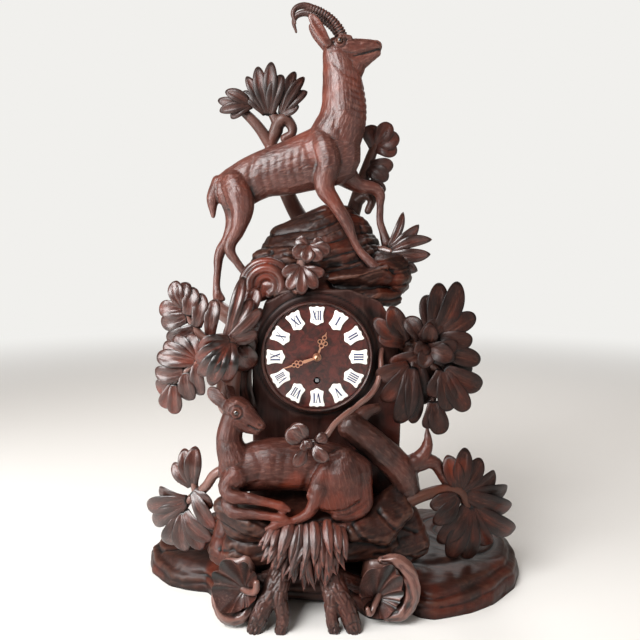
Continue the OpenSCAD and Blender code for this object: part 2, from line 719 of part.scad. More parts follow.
module door_outline() {
  translate([0, dial_height]) circle(r = door_r, $fn = round_fn);
  translate([-door_r, slot_floor - 8]) square([2 * door_r, dial_height - slot_floor + 8]);
}
module back_door() {
  color(mid_wood) {
    front_view(door_front, door_back) door_outline();
    translate([door_r - knob_inset, door_back, dial_height - 40]) rotate([-90, 0, 0])
      rotate_extrude($fn = fine_fn) polygon([[0, 0], [4, 0], [3, 3], [5.5, 7], [5, 10], [0, 11.5]]);
  }
}
module knuckle(z1, z2, r) {
  translate([hinge_x, hinge_y, z1]) cylinder(h = z2 - z1, r = r, $fn = fine_fn);
}
module leaf_plate(x1, x2, y1, y2, z) {
  translate([x1, y1, z - hinge_half]) cube([x2 - x1, y2 - y1, 2 * hinge_half]);
}
module case_hinge_leaves() {
  color(brass) for (z = hinge_heights) difference() {
    union() {
      // along the case's side, out to the pin's plane and back to the pin
      leaf_plate(-case_left - hinge_leaf_t, -case_left, case_rear - hinge_leaf_l, case_rear, z);
      leaf_plate(hinge_x, -case_left, case_rear - hinge_leaf_t, case_rear, z);
      leaf_plate(hinge_x, hinge_x + hinge_leaf_t, case_rear - hinge_leaf_t, hinge_y, z);
      knuckle(z - hinge_half, z + hinge_half, knuckle_r);
    }
    knuckle(z - knuckle_half - near, z + knuckle_half + near, knuckle_r + 1);
    translate([hinge_x - 3, case_rear + near, z - knuckle_half - near])
      cube([6, hinge_y, 2 * knuckle_half + 2 * near]);
    knuckle(z - hinge_half - 1, z + hinge_half + 1, hinge_pin_r + run);
  }
}
module door_hinge_leaves() {
  color(brass) for (z = hinge_heights) {
    difference() {
      union() {
        knuckle(z - knuckle_half, z + knuckle_half, knuckle_r);
        translate([hinge_x - 1, hinge_y, z - knuckle_half])
          cube([2, door_back + hinge_leaf_t - hinge_y, 2 * knuckle_half]);
        translate([hinge_x - 1, door_back, z - knuckle_half]) cube([8, hinge_leaf_t, 2 * knuckle_half]);
      }
      knuckle(z - hinge_half - 1, z + hinge_half + 1, hinge_pin_r + run);
    }
    translate([hinge_x + 4, door_back, z - hinge_half]) cube([hinge_leaf_l, hinge_leaf_t, 2 * hinge_half]);
  }
}
module hinge_pins() {
  color(brass) for (z = hinge_heights) {
    knuckle(z - hinge_half - 0.6, z + hinge_half, hinge_pin_r);
    knuckle(z + hinge_half, z + hinge_half + 1.4, hinge_pin_r * 1.7);
  }
}
button_y = door_back + near;
module turn_button() {
  color(brass) difference() {
    union() {
      rod_at(button_at, case_rear + near / 2, button_y, 3.4);
      front_view(button_y, button_y + 3) translate(button_at)
        polygon([[-3.4, -4], [3.4, -4], [2.6, button_l - 4], [-2.6, button_l - 4]]);
    }
    rod_at(button_at, case_rear - 1, button_y + 4, button_screw_r + run);
  }
}
module button_screw() {
  head_y = button_y + 3 + near / 2;
  color(steel) slotted_screw(button_at, head_y, head_y - case_rear + screw_l - 1, button_screw_r, 3);
}

// Carved pieces. Each shape is cut back by the pieces that it is fitted to

// What stands above the floor of the given shapes
far = 250;
module above_floor() {
  intersection() {
    union() children();
    translate([-far, -far, 0]) cube([2 * far, 2 * far, far]);
  }
}

module base_shape() {
  above_floor() {
    slab([[-70, 70, 16, 22], [80, 72, 16, 20], [-70, -60, 20, 26], [90, -60, 20, 26]]);
    // left wing: a low step, then the mound on it
    slab([[-166, 0, 4, 25], [-140, 46, 4, 26], [-106, 60, 8, 30], [-104, -46, 4, 28], [-140, -36, 4, 28],
      [-70, 0, 8, 36]]);
    slab([[-150, 2, 16, 20], [-120, 34, 20, 20], [-112, -28, 20, 20], [-80, 0, 24, 20]]);
    // right wing
    slab([[196, -20, 4, 28], [186, 40, 4, 28], [130, 62, 8, 28], [160, -70, 4, 28], [112, -96, 4, 28],
      [90, 0, 8, 36]]);
    slab([[178, -8, 20, 20], [150, 40, 22, 20], [140, -58, 20, 20], [104, -70, 20, 18], [90, 0, 24, 20]]);
    slab([[60, -104, 10, 22], [104, -88, 14, 22], [40, -80, 20, 20]]);
    slab([[-74, -96, 10, 22], [-60, -80, 20, 22], [-100, -60, 10, 20]]);
    // floor of the hollow between the feet
    slab([[-40, -84, 20, 20], [30, -84, 20, 20], [-10, -60, 26, 20]]);
  }
}

module base_rock() {
  color(dark_wood) difference() {
    base_shape();
    case_block();
  }
}

module ledge_shape() {
  slab([[-74, -96, 60, 22], [-70, -70, 80, 20], [60, -70, 80, 24], [64, -96, 66, 18], [-10, -110, 62, 14],
    [-10, -70, 84, 20]]);
  slab([[-92, -106, 106, 8], [-62, -124, 94, 8], [-42, -126, 86, 8], [-78, -104, 84, 12],
    [-90, -84, 98, 10]]);
  slab([[-70, -100, 98, 8], [-30, -116, 94, 8], [30, -112, 92, 8], [50, -92, 98, 8], [-60, -74, 104, 8],
    [48, -74, 104, 8]]);
  slab([[34, -118, 84, 8], [64, -116, 78, 8], [86, -96, 96, 8], [56, -92, 96, 10], [80, -78, 110, 8]]);
  slab([[70, -96, 52, 16], [100, -84, 58, 14], [92, -74, 84, 12], [60, -84, 76, 12]]);
  slab([[-96, -88, 52, 14], [-74, -100, 50, 16], [-88, -78, 82, 12]]);
  slab([[-34, -112, 70, 12], [18, -112, 70, 12], [-10, -118, 62, 10], [-20, -96, 84, 10]]);
}
module deer_ledge() {
  color(mid_wood) difference() {
    ledge_shape();
    case_block();
    base_shape();
  }
}

module root_shape(side) {
  above_floor() {
    if (side < 0) {
      limb([[-26, -112, 62, 13], [-40, -130, 38, 10], [-50, -138, 20, 9], [-57, -140, 2, 8]]);
      limb([[-30, -116, 56, 11], [-35, -136, 32, 8], [-31, -142, 14, 6], [-33, -143, 2, 6]]);
      limb([[-40, -124, 44, 8], [-60, -118, 34, 7], [-70, -108, 24, 8]]);
    } else {
      limb([[2, -112, 62, 13], [16, -130, 40, 10], [28, -138, 20, 9], [34, -140, 2, 8]]);
      limb([[6, -116, 56, 11], [13, -134, 34, 8], [14, -141, 14, 6], [16, -142, 2, 6]]);
      limb([[14, -124, 46, 8], [30, -116, 36, 7], [42, -106, 26, 8]]);
    }
  }
}
module root_foot_left() {
  color(dark_wood) difference() {
    root_shape(-1);
    base_shape();
    ledge_shape();
  }
}
module root_foot_right() {
  color(dark_wood) difference() {
    root_shape(1);
    base_shape();
    ledge_shape();
  }
}

// A rolled leaf: a cup of overlapping scallops around a hollow
module rolled_leaf(middle, back, rims, width) {
  slab([for (b = back) b], 8);
  for (r = rims) lobe(middle, r, width, 5, -0.16, 0.3);
}
module curl_left_shape() {
  rolled_leaf([-76, -130, 38],
    [[-84, -118, 18, 12], [-80, -120, 50, 12], [-68, -122, 30, 10], [-68, -118, 54, 10]],
    [[-97, -136, 36], [-93, -138, 56], [-78, -142, 70], [-60, -142, 62], [-54, -144, 34], [-68, -142, 12],
      [-90, -138, 16]], 22);
  limb([[-70, -128, 34, 6], [-60, -142, 40, 5.5], [-58, -144, 48, 5]]);
}
module curled_leaf_left() {
  color(mid_wood) difference() {
    curl_left_shape();
    base_shape();
    ledge_shape();
    root_shape(-1);
  }
}
module curl_right_shape() {
  rolled_leaf([62, -126, 36],
    [[50, -114, 18, 10], [72, -112, 20, 14], [70, -112, 48, 12], [54, -114, 46, 10]],
    [[40, -136, 44], [48, -138, 60], [66, -136, 68], [84, -132, 58], [91, -128, 34], [82, -134, 10],
      [62, -138, 6], [46, -138, 20]], 22);
  limb([[60, -122, 34, 6], [58, -130, 24, 5], [56, -136, 14, 4]]);
}
module curled_leaf_right() {
  color(mid_wood) difference() {
    curl_right_shape();
    base_shape();
    ledge_shape();
    root_shape(1);
  }
}

// Blades hang in two rows from a ridge under the deer
tuft_under = [[-54, 80], [-50, 66], [-42, 56], [-33, 48], [-22, 43], [-12, 38], [-1, 38], [9, 43], [18, 50],
  [25, 60], [29, 74]];
tuft_over = [[-46, 76], [-38, 66], [-28, 60], [-18, 57], [-8, 54], [2, 55], [11, 60], [19, 68]];
module tuft_shape() {
  limb([[-38, -126, 86, 7], [-20, -126, 90, 7], [0, -125, 90, 7], [24, -124, 88, 7]]);
  limb([[-30, -122, 80, 7], [12, -122, 78, 7]]);
  for (i = [0:len(tuft_under) - 1]) {
    t = tuft_under[i];
    lobe([-36 + 5.6 * i, -126, 88], [t[0], -139, t[1]], 9, 4, 0.12, 0.1);
  }
  for (i = [0:len(tuft_over) - 1]) {
    t = tuft_over[i];
    lobe([-28 + 6.4 * i, -127, 92], [t[0], -142, t[1]], 8, 4, 0.14, 0.1);
  }
}
module grass_tuft() {
  color(mid_wood) difference() {
    tuft_shape();
    ledge_shape();
    root_shape(-1);
    root_shape(1);
    curl_left_shape();
    curl_right_shape();
  }
}

module base_leaf_left() {
  color(mid_wood) difference() {
    union() {
      limb([[-84, -86, 118, 6], [-92, -82, 132, 5], [-102, -78, 128, 5], [-112, -74, 114, 5],
        [-122, -70, 104, 5],
        [-132, -68, 96, 4], [-140, -66, 80, 4], [-144, -62, 64, 3]]);
      limb([[-122, -70, 104, 5], [-127, -68, 118, 3], [-128, -66, 134, 2]]);
      lobes([-127, -67, 112], [[-124, -66, 153], [-136, -64, 150], [-148, -62, 134]], 15);
      lobes([-126, -70, 108], [[-106, -76, 92], [-102, -78, 70]], 16);
      lobes([-132, -69, 98], [[-164, -58, 106], [-178, -54, 86], [-172, -52, 66]], 16);
      lobes([-136, -68, 86], [[-158, -56, 46], [-138, -62, 40], [-118, -68, 44], [-106, -72, 56]], 17);
    }
    base_shape();
    ledge_shape();
  }
}
module base_leaf_right() {
  color(mid_wood) difference() {
    union() {
      limb([[84, -88, 100, 7], [104, -86, 108, 6], [124, -82, 112, 6], [142, -80, 112, 6],
        [150, -78, 98, 5],
        [156, -74, 80, 4], [158, -70, 60, 4], [158, -66, 44, 4]]);
      lobes([142, -80, 112], [[130, -80, 148], [148, -78, 155], [166, -72, 142]], 17);
      lobes([146, -80, 110], [[182, -66, 126], [197, -58, 106], [201, -56, 84]], 18);
      lobes([140, -82, 108], [[112, -88, 98], [116, -88, 80]], 16);
      lobes([152, -78, 96], [[206, -54, 58], [178, -64, 48], [154, -72, 36], [134, -78, 40],
        [122, -82, 58]], 19);
    }
    base_shape();
    ledge_shape();
    bough_shape();
  }
}

module bough_shape() {
  limb([[34, -84, 178, 14], [58, -84, 158, 15], [84, -82, 132, 15], [92, -80, 112, 12]], 8);
  limb([[80, -82, 134, 12], [100, -80, 142, 9], [110, -78, 156, 6], [110, -76, 176, 1.5]]);
  limb([[96, -80, 138, 9], [116, -78, 140, 7], [128, -76, 124, 6], [134, -78, 112, 5]]);
  limb([[34, -82, 176, 10], [48, -76, 190, 7], [60, -72, 194, 5]]);
}
module broken_bough() {
  color(dark_wood) difference() {
    bough_shape();
    case_block();
    dial_clearance();
    ledge_shape();
  }
}

module deer_shape() {
  squeeze(-100, 0.85)
    limb([[-74, -102, 140, 22], [-46, -99, 145, 26], [-18, -98, 144, 25], [4, -98, 142, 25],
      [22, -98, 136, 27]], 8);
  limb([[-78, -104, 150, 17], [-84, -102, 168, 13], [-84, -98, 184, 11], [-80, -98, 194, 12]], 8);
  limb([[-80, -98, 195, 12], [-68, -102, 189, 9], [-58, -106, 183, 6.5], [-54, -107, 181, 5.5]], 8);
  limb([[-88, -94, 200, 4], [-97, -88, 207, 4], [-104, -84, 210, 1.5]], 6);
  limb([[-84, -88, 202, 4], [-88, -80, 212, 4], [-90, -76, 219, 1.5]], 6);
  // haunch, shin and hoof of the near hind leg, and the hock behind
  squeeze(-112, 0.7) limb([[22, -112, 138, 24], [10, -116, 140, 14]], 8);
  limb([[6, -122, 142, 10], [0, -124, 124, 8], [-6, -126, 108, 6], [-22, -130, 101, 4.5],
    [-40, -132, 97, 4.5]]);
  limb([[44, -104, 124, 10], [44, -108, 108, 9], [24, -118, 104, 7]]);
  // folded forelegs
  limb([[-76, -112, 138, 14], [-84, -120, 126, 8], [-60, -126, 120, 5.5], [-33, -128, 114, 4.5]]);
  limb([[-80, -112, 120, 9], [-82, -122, 110, 7], [-56, -128, 106, 5], [-32, -131, 104, 4.5]]);
  limb([[40, -84, 148, 7], [48, -80, 140, 4]], 6);
}
deer_eye_at = [-76, -109, 198];
module deer_eye_shape() {
  for (across = [0, 20]) translate(deer_eye_at + [0, across, 0]) sphere(r = 3.4, $fn = 8);
}
module reclining_deer() {
  color(mid_wood) difference() {
    deer_shape();
    ledge_shape();
    bough_shape();
    case_block();
    dial_clearance();
  }
}
module deer_eyes() {
  color(glass) difference() {
    deer_eye_shape();
    deer_shape();
  }
}

// The clover's stem follows the bezel's edge up to the leaves on the right
function round_bezel(angle, out, y, r) =
  [(bezel_out_r + out) * cos(angle), y, dial_height + (bezel_out_r + out) * sin(angle), r];
module clover_shape() {
  limb([[-10, -122, 172, 3], [6, -124, 174, 2.6], round_bezel(-71, 5.8, -116, 2.6),
    round_bezel(-46.4, 2.4, -100, 2.6), round_bezel(-28.2, 7.9, -86, 2.8), round_bezel(-12.3, 9.9, -76, 3),
    round_bezel(0, 8.4, -66, 3), round_bezel(5.2, 10.7, -58, 3)], 6);
  lobes([-10, -124, 172], [[-25, -126, 184], [-9, -128, 191], [-24, -130, 164],
    [-4, -132, 156]], 13, 3.5, 0.16, 0.25);
}
module clover_sprig() {
  color(mid_wood) difference() {
    clover_shape();
    deer_shape();
    bough_shape();
    case_block();
    dial_clearance();
  }
}

// Summit carvings, with heights counted from the top of the case
module summit_shape() {
  on_summit() {
    slab([[-56, 10, 10, 20], [-40, 0, 56, 12], [10, 0, 78, 12], [44, 4, 66, 12], [66, 10, 20, 20],
      [50, -34, 12, 14],
      [-50, -34, 8, 14], [0, 36, 30, 18]]);
    slab([[-62, -30, 2, 12], [-58, -20, 30, 12], [-30, -30, 30, 14], [-20, -40, 8, 12], [-40, 20, 30, 16]]);
    slab([[62, -10, 16, 14], [86, -14, 22, 15], [88, 6, 6, 16], [66, 10, 34, 14], [82, -30, 10, 15],
      [64, -34, 18, 14]]);
    slab([[14, -58, 10, 4], [40, -60, 13, 5], [72, -48, 20, 5], [76, -30, 18, 6], [20, -36, 10, 6]]);
    slab([[6, -30, 34, 10], [40, -28, 38, 10], [10, 0, 60, 12], [50, 0, 52, 12], [30, -36, 24, 8]]);
    slab([[24, 30, 70, 9], [52, 26, 64, 9], [30, 4, 82, 8], [14, 20, 40, 14], [50, 20, 40, 12]]);
    slab([[16, -54, -6, 6], [60, -50, -8, 8], [80, -30, -10, 10], [60, -30, 6, 8], [20, -40, 4, 6]]);
    slab([[-40, -50, -8, 6], [-20, -54, -4, 6], [10, -54, -2, 6], [0, -36, 10, 10], [-40, -36, 6, 8]]);
  }
}
module summit_rock() {
  color(dark_wood) difference() {
    summit_shape();
    case_block();
    dial_clearance();
  }
}

module chamois_shape() {
  on_summit() {
    squeeze(-20, 0.64) limb([[14, -20, 140, 33], [-30, -20, 124, 28], [-60, -20, 117, 24],
      [-86, -20, 102, 23]], 10);
    squeeze(-20, 0.75) limb([[20, -20, 154, 27], [26, -20, 178, 25], [27, -20, 206, 22], [27, -20, 226, 18],
      [22, -20, 245, 14]], 8);
    squeeze(-20, 0.85) {
      limb([[22, -20, 246, 15], [44, -20, 248, 10], [60, -20, 251, 7.5]], 8);
      limb([[34, -20, 226, 16], [48, -20, 238, 9], [60, -20, 246, 6]]);
    }
    // ears and tail
    limb([[10, -29, 243, 4], [0, -33, 258, 6], [-9, -35, 281, 2]]);
    limb([[12, -11, 243, 4], [4, -6, 256, 5], [-2, -3, 272, 1.5]]);
    limb([[-104, -20, 112, 7], [-110, -20, 94, 7], [-110, -20, 76, 2.5]]);
    // near hind leg, far hind leg
    limb([[-86, -28, 104, 17], [-78, -32, 84, 13], [-82, -34, 62, 8], [-91, -34, 42, 6.5],
      [-82, -35, 26, 4.5],
      [-62, -37, 2, 5]]);
    limb([[-90, -12, 98, 15], [-88, -8, 74, 11], [-96, -8, 52, 7], [-105, -8, 38, 6], [-108, -9, 16, 4.5],
      [-109, -10, 0, 4.5], [-108, -12, -8, 5.5]]);
    // near foreleg, raised far foreleg
    limb([[12, -34, 130, 15], [8, -36, 102, 11], [18, -38, 88, 8], [31, -39, 68, 6.5], [38, -40, 50, 4.5],
      [44, -41, 38, 5], [54, -43, 27, 6], [60, -44, 21, 5.5]]);
    limb([[28, -10, 122, 15], [44, -6, 110, 9], [68, -4, 103, 6.5], [68, -4, 88, 4.5], [68, -4, 72, 4.5],
      [72, -5, 58, 5.5], [75, -6, 48, 6]]);
  }
}
module standing_chamois() {
  color(mid_wood) difference() {
    chamois_shape();
    summit_shape();
  }
}
horn_line = [[27, 256, 6], [20, 268, 5.4], [10, 277, 5], [-4, 284, 4.4], [-16, 286, 3.8], [-24, 280, 3],
  [-22, 268, 1.4]];
module chamois_horns() {
  color(dark_wood) difference() {
    on_summit() for (s = [-1, 1])
      limb([for (i = [0:len(horn_line) - 1]) let (h = horn_line[i])
        [h[0], -20 + s * (5 + 1.2 * i), h[1], h[2]]]);
    chamois_shape();
  }
}
chamois_eye_at = [23, 252];
module chamois_eyes() {
  color(glass) difference() {
    on_summit() for (s = [-1, 1])
      translate([chamois_eye_at[0], -20 + s * 11, chamois_eye_at[1]]) sphere(r = 3, $fn = 8);
    chamois_shape();
  }
}

module branch_shape() {
  on_summit() {
    limb([[-16, 22, 70, 10], [-30, 30, 96, 9], [-44, 30, 130, 8], [-52, 26, 158, 7], [-44, 22, 178, 7],
      [-50, 20, 192, 5]]);
    limb([[-52, 26, 158, 7], [-66, 22, 178, 6], [-84, 20, 196, 5], [-92, 18, 204, 3]]);
    limb([[-48, 24, 170, 7], [-38, 20, 184, 8], [-30, 20, 180, 6], [-28, 20, 170, 5], [-36, 20, 164, 5]]);
    lobes([-52, 20, 190], [[-64, 16, 238], [-50, 16, 244], [-38, 14, 232]], 17);
    lobes([-54, 20, 188], [[-76, 18, 230], [-80, 18, 216]], 14);
    lobes([-82, 20, 194], [[-104, 16, 212], [-108, 16, 198], [-98, 16, 186]], 14);
    lobes([-40, 20, 186], [[-16, 16, 230], [-12, 16, 216], [-20, 16, 200]], 14);
  }
}
module oak_branch_back() {
  color(dark_wood) difference() {
    branch_shape();
    summit_shape();
    chamois_shape();
  }
}
module oak_spray_right() {
  color(dark_wood) difference() {
    on_summit() {
      limb([[36, 22, 70, 9], [44, 26, 96, 8], [52, 24, 122, 7], [58, 22, 140, 6], [64, 20, 156, 5],
        [70, 20, 170, 4]]);
      limb([[44, 26, 96, 8], [54, 18, 102, 6], [60, 12, 96, 5], [56, 10, 84, 4]]);
      lobes([64, 20, 154], [[80, 16, 180], [90, 16, 166], [88, 16, 148], [56, 18, 178]], 16);
      lobes([56, 22, 134], [[84, 14, 134], [78, 14, 118]], 15);
      lobes([50, 24, 112], [[76, 14, 108], [70, 12, 96]], 14);
    }
    summit_shape();
    chamois_shape();
  }
}
module fan_leaf() {
  color(dark_wood) difference() {
    on_summit() {
      limb([[58, 0, 36, 6], [70, -6, 36, 5], [80, -10, 34, 5]]);
      slab([[64, -2, 30, 5], [76, -8, 28, 5], [82, -10, 38, 4]]);
      lobes([78, -10, 34], [[92, -4, 76], [108, -6, 62], [122, -8, 44], [120, -12, 26],
        [104, -14, 16]], 15, 4);
      for (x = [60:4:76]) link([x, 0 - x / 10, 36, 4], [x + 4, -2 - x / 10, 34, 4], 6);
    }
    summit_shape();
    chamois_shape();
  }
}
// Ribs of a rolled fern, as arcs about one middle
fern_middle = [-52, 4];
module fern_arc(radius, r, y, from, to) {
  n = 5;
  limb([for (i = [0:n]) let (a = from + (to - from) * i / n)
    [fern_middle[0] + radius * cos(a), y, fern_middle[1] + radius * sin(a), r]], 5);
}
module fern_shape() {
  on_summit() {
    fern_arc(24, 5, -45, 205, -20);
    fern_arc(17, 5, -50, 190, -30);
    fern_arc(10, 5.5, -47, 180, -60);
    limb([[-74, -44, -6, 5], [-84, -48, -24, 5], [-92, -56, -44, 4]], 6);
    limb([[-68, -48, 0, 5], [-76, -52, -20, 5], [-84, -60, -42, 4]], 6);
    slab([[-56, -40, 4, 10], [-40, -42, 4, 10], [-52, -36, 18, 8], [-60, -40, -6, 8]]);
  }
}
module fern_curl() {
  color(mid_wood) difference() {
    fern_shape();
    case_block();
    dial_clearance();
    summit_shape();
    chamois_shape();
  }
}
module summit_leaf_shape() {
  on_summit() {
    limb([[-14, -48, 12, 7], [-15, -56, 24, 6], [-14, -60, 34, 5]]);
    limb([[-16, -54, 16, 6], [-20, -60, 8, 5], [-20, -64, 0, 5]]);
    lobes([-14, -60, 32], [[-12, -62, 50], [-28, -60, 44], [6, -60, 42], [14, -58, 32],
      [-34, -58, 30]], 13, 3.5);
    lobes([-16, -60, 20], [[-28, -68, 0], [-14, -70, -4], [0, -68, 4], [-34, -64, 14],
      [8, -64, 18]], 12, 3.5);
  }
}
module summit_leaves() {
  color(mid_wood) difference() {
    summit_leaf_shape();
    case_block();
    dial_clearance();
    summit_shape();
    fern_shape();
  }
}

// Oak leaves beside the dial, counted from the case's corner at the dial's height
module left_leaf_shape() {
  beside_left() {
    limb([[6, 14, 14, 12], [-14, 2, 14, 11], [-30, -8, 15, 8], [-47, -10, 19, 5], [-60, -9, 36, 3.5],
      [-72, -8, 54, 2]]);
    limb([[-14, 2, 14, 11], [-22, -4, -20, 12], [-22, -10, -48, 12], [-14, -8, -62, 9]]);
    limb([[-20, -20, 16, 7], [-34, -26, 8, 5], [-52, -27, -4, 4], [-66, -26, -16, 3], [-77, -25, -28, 2]]);
    limb([[-16, 0, 14, 10], [-18, -16, 16, 9], [-20, -24, 14, 7]]);
    lobes([-66, -8, 48], [[-76, -4, 75], [-64, -4, 74], [-92, -2, 46]], 15);
    lobes([-62, -9, 40], [[-57, -4, 69], [-90, -2, 32]], 15);
    lobes([-54, -10, 28], [[-49, -4, 63], [-85, -2, 16]], 16);
    lobes([-40, -10, 20], [[-35, -6, 57]], 15);
    lobes([-50, -27, -2], [[-84, -20, 14], [-91, -20, 2], [-48, -22, -37]], 17);
    lobes([-62, -26, -12], [[-93, -20, -14], [-58, -22, -42]], 16);
    lobes([-73, -25, -24], [[-92, -18, -30], [-86, -18, -50], [-75, -20, -56]], 15);
    lobes([-18, -26, 17], [[-48, -34, 12], [-50, -38, 0], [-47, -38, -14], [-36, -38, -24],
      [-22, -34, -22]], 15, 4, 0.3);
    lobes([-22, -20, 18], [[-6, -8, 80], [2, -12, 58], [12, -14, 48], [8, -16, 24]], 11, 4);
    lobes([-18, -10, 14], [[6, -10, 8], [2, -8, -12]], 22, 5);
    // stub that carries the far hind hoof
    limb([[8, 40, 16, 12], [-24, 48, 32, 10], [-42, 50, 44, 9]]);
  }
}
module oak_cluster_left() {
  color(mid_wood) difference() {
    left_leaf_shape();
    case_block();
    dial_clearance();
    summit_shape();
    fern_shape();
    chamois_shape();
    deer_shape();
  }
}
module right_leaf_shape() {
  beside_right() {
    limb([[-6, 14, 10, 13], [12, 0, 12, 12], [24, -16, 14, 10], [30, -24, 18, 7]]);
    limb([[18, -8, 8, 10], [28, -22, -8, 8], [34, -26, -12, 5], [30, -26, -30, 4], [28, -24, -46, 4]]);
    limb([[10, 0, 6, 10], [8, -14, -10, 7], [2, -16, -30, 5], [-2, -16, -46, 3]]);
    lobes([28, -24, 22], [[50, -26, 75], [32, -24, 74], [20, -20, 62]], 19);
    lobes([32, -26, 22], [[67, -26, 43], [64, -30, 18]], 19);
    lobes([32, -26, 8], [[73, -26, -2]], 19);
    lobes([36, -28, -10], [[75, -24, -28], [61, -24, -52], [42, -26, -52], [26, -26, -38]], 19);
    lobes([28, -24, -42], [[36, -22, -76], [22, -22, -70]], 15);
    lobes([16, -20, 18], [[2, -16, 40], [36, -30, 40]], 16);
    lobes([6, -18, -8], [[-28, -16, -18], [-22, -16, -44], [-6, -18, -66], [10, -18, -66]], 20);
    lobes([2, -8, 14], [[-26, -14, 20], [-30, -12, 38], [-14, -12, 50]], 17);
  }
}
module oak_cluster_right() {
  color(mid_wood) difference() {
    right_leaf_shape();
    case_block();
    dial_clearance();
    summit_shape();
    bough_shape();
    clover_shape();
  }
}

base_rock();
root_foot_left();
root_foot_right();
curled_leaf_left();
curled_leaf_right();
grass_tuft();
base_leaf_left();
base_leaf_right();
deer_ledge();
reclining_deer();
deer_eyes();
clover_sprig();
broken_bough();
clock_case();
summit_rock();
standing_chamois();
chamois_horns();
chamois_eyes();
oak_branch_back();
oak_spray_right();
fan_leaf();
fern_curl();
summit_leaves();
oak_cluster_left();
oak_cluster_right();
dial_bezel();
dial_plate();
numeral_cartouches();
dial_feet();
front_plate();
back_plate();
plate_pillars();
mainspring_barrel();
barrel_cap();
mainspring();
winding_arbor();
ratchet_wheel();
click();
click_spring();
centre_wheel();
third_wheel();
escape_wheel();
pallet_anchor();
pendulum_cock();
pendulum();
rating_nut();
cannon_pinion();
minute_wheel();
hour_wheel();
movement_straps();
movement_screws();
minute_hand();
hour_hand();
hand_nut();
back_door();
case_hinge_leaves();
door_hinge_leaves();
hinge_pins();
turn_button();
button_screw();
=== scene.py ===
import json
import math
import bpy
import numpy as np
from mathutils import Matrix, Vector

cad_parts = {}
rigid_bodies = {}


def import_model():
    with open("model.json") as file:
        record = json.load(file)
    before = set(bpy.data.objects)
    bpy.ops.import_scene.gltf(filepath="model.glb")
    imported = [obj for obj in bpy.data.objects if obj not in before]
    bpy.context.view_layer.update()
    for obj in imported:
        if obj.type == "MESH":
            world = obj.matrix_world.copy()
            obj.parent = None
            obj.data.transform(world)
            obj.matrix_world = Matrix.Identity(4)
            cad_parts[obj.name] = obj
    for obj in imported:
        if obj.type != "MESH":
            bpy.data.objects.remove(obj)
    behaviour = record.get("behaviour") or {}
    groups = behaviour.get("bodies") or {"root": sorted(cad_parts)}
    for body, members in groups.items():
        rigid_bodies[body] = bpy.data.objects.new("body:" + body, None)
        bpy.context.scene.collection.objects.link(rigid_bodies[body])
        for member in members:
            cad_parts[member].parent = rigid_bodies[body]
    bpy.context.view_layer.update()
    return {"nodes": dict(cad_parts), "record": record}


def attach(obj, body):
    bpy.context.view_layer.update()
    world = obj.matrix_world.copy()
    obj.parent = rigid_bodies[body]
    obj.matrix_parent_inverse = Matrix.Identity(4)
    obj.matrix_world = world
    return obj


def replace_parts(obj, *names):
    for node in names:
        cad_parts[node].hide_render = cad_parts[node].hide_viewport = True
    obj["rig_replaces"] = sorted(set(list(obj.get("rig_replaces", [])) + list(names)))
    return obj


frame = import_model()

# Carved wooden mantel clock. Every length below is in millimetres until it meets Blender.
mm = 0.001
caseTop = 312          # top of the case, where the summit carvings stand
caseFront = -62        # front face of the case
dialHeight = 246
bezelRadius = 56       # carvings stay outside the turned bezel
shuffle = np.random.default_rng(7)

slotOf = {part["node"]: part["material_slot"] for part in frame["record"]["subparts"]}
bodyOf = {}
for bodyName, members in frame["record"]["behaviour"]["bodies"].items():
    for member in members:
        bodyOf[member] = bodyName


# Selecting, joining and moving points

def selectOnly(*objs):
    bpy.ops.object.select_all(action="DESELECT")
    for obj in objs:
        obj.select_set(True)
    bpy.context.view_layer.objects.active = objs[0]


def joinPieces(objs, name):
    selectOnly(*objs)
    if len(objs) > 1:
        bpy.ops.object.join()
    bpy.ops.object.transform_apply(location=True, rotation=True, scale=True)
    piece = bpy.context.view_layer.objects.active
    piece.name = name
    piece.data.name = name
    return piece


def copyOf(obj):
    piece = obj.copy()
    piece.data = obj.data.copy()
    bpy.context.scene.collection.objects.link(piece)
    return piece


def editAll(operator, **settings):
    # one edit mode operator on the whole active mesh
    bpy.ops.object.mode_set(mode="EDIT")
    bpy.ops.mesh.select_all(action="SELECT")
    operator(**settings)
    bpy.ops.object.mode_set(mode="OBJECT")


def useModifier(obj, kind, **settings):
    selectOnly(obj)
    modifier = obj.modifiers.new(kind.title(), kind)
    for key, value in settings.items():
        setattr(modifier, key, value)
    bpy.ops.object.modifier_apply(modifier=modifier.name)


def readPoints(obj, what="co"):
    flat = np.empty(len(obj.data.vertices) * 3, dtype=np.float32)
    obj.data.vertices.foreach_get(what, flat)
    points = flat.reshape(-1, 3).astype(np.float64)
    return points / mm if what == "co" else points


def readSurface(obj):
    return readPoints(obj), readPoints(obj, "normal")


def writePoints(obj, points):
    obj.data.vertices.foreach_set("co", (points * mm).astype(np.float32).ravel())
    obj.data.update()


def storeValues(obj, name, kind, values):
    layer = obj.data.attributes.get(name) or obj.data.attributes.new(name, kind, "POINT")
    field = "value" if kind == "FLOAT" else "vector"
    layer.data.foreach_set(field, np.ascontiguousarray(values, dtype=np.float32).ravel())


def storeFlow(obj, flow):
    # the way the tool went: distance along the form and two offsets across it
    storeValues(obj, "flow", "FLOAT_VECTOR", flow)


# Small numeric tools for the carver's touch

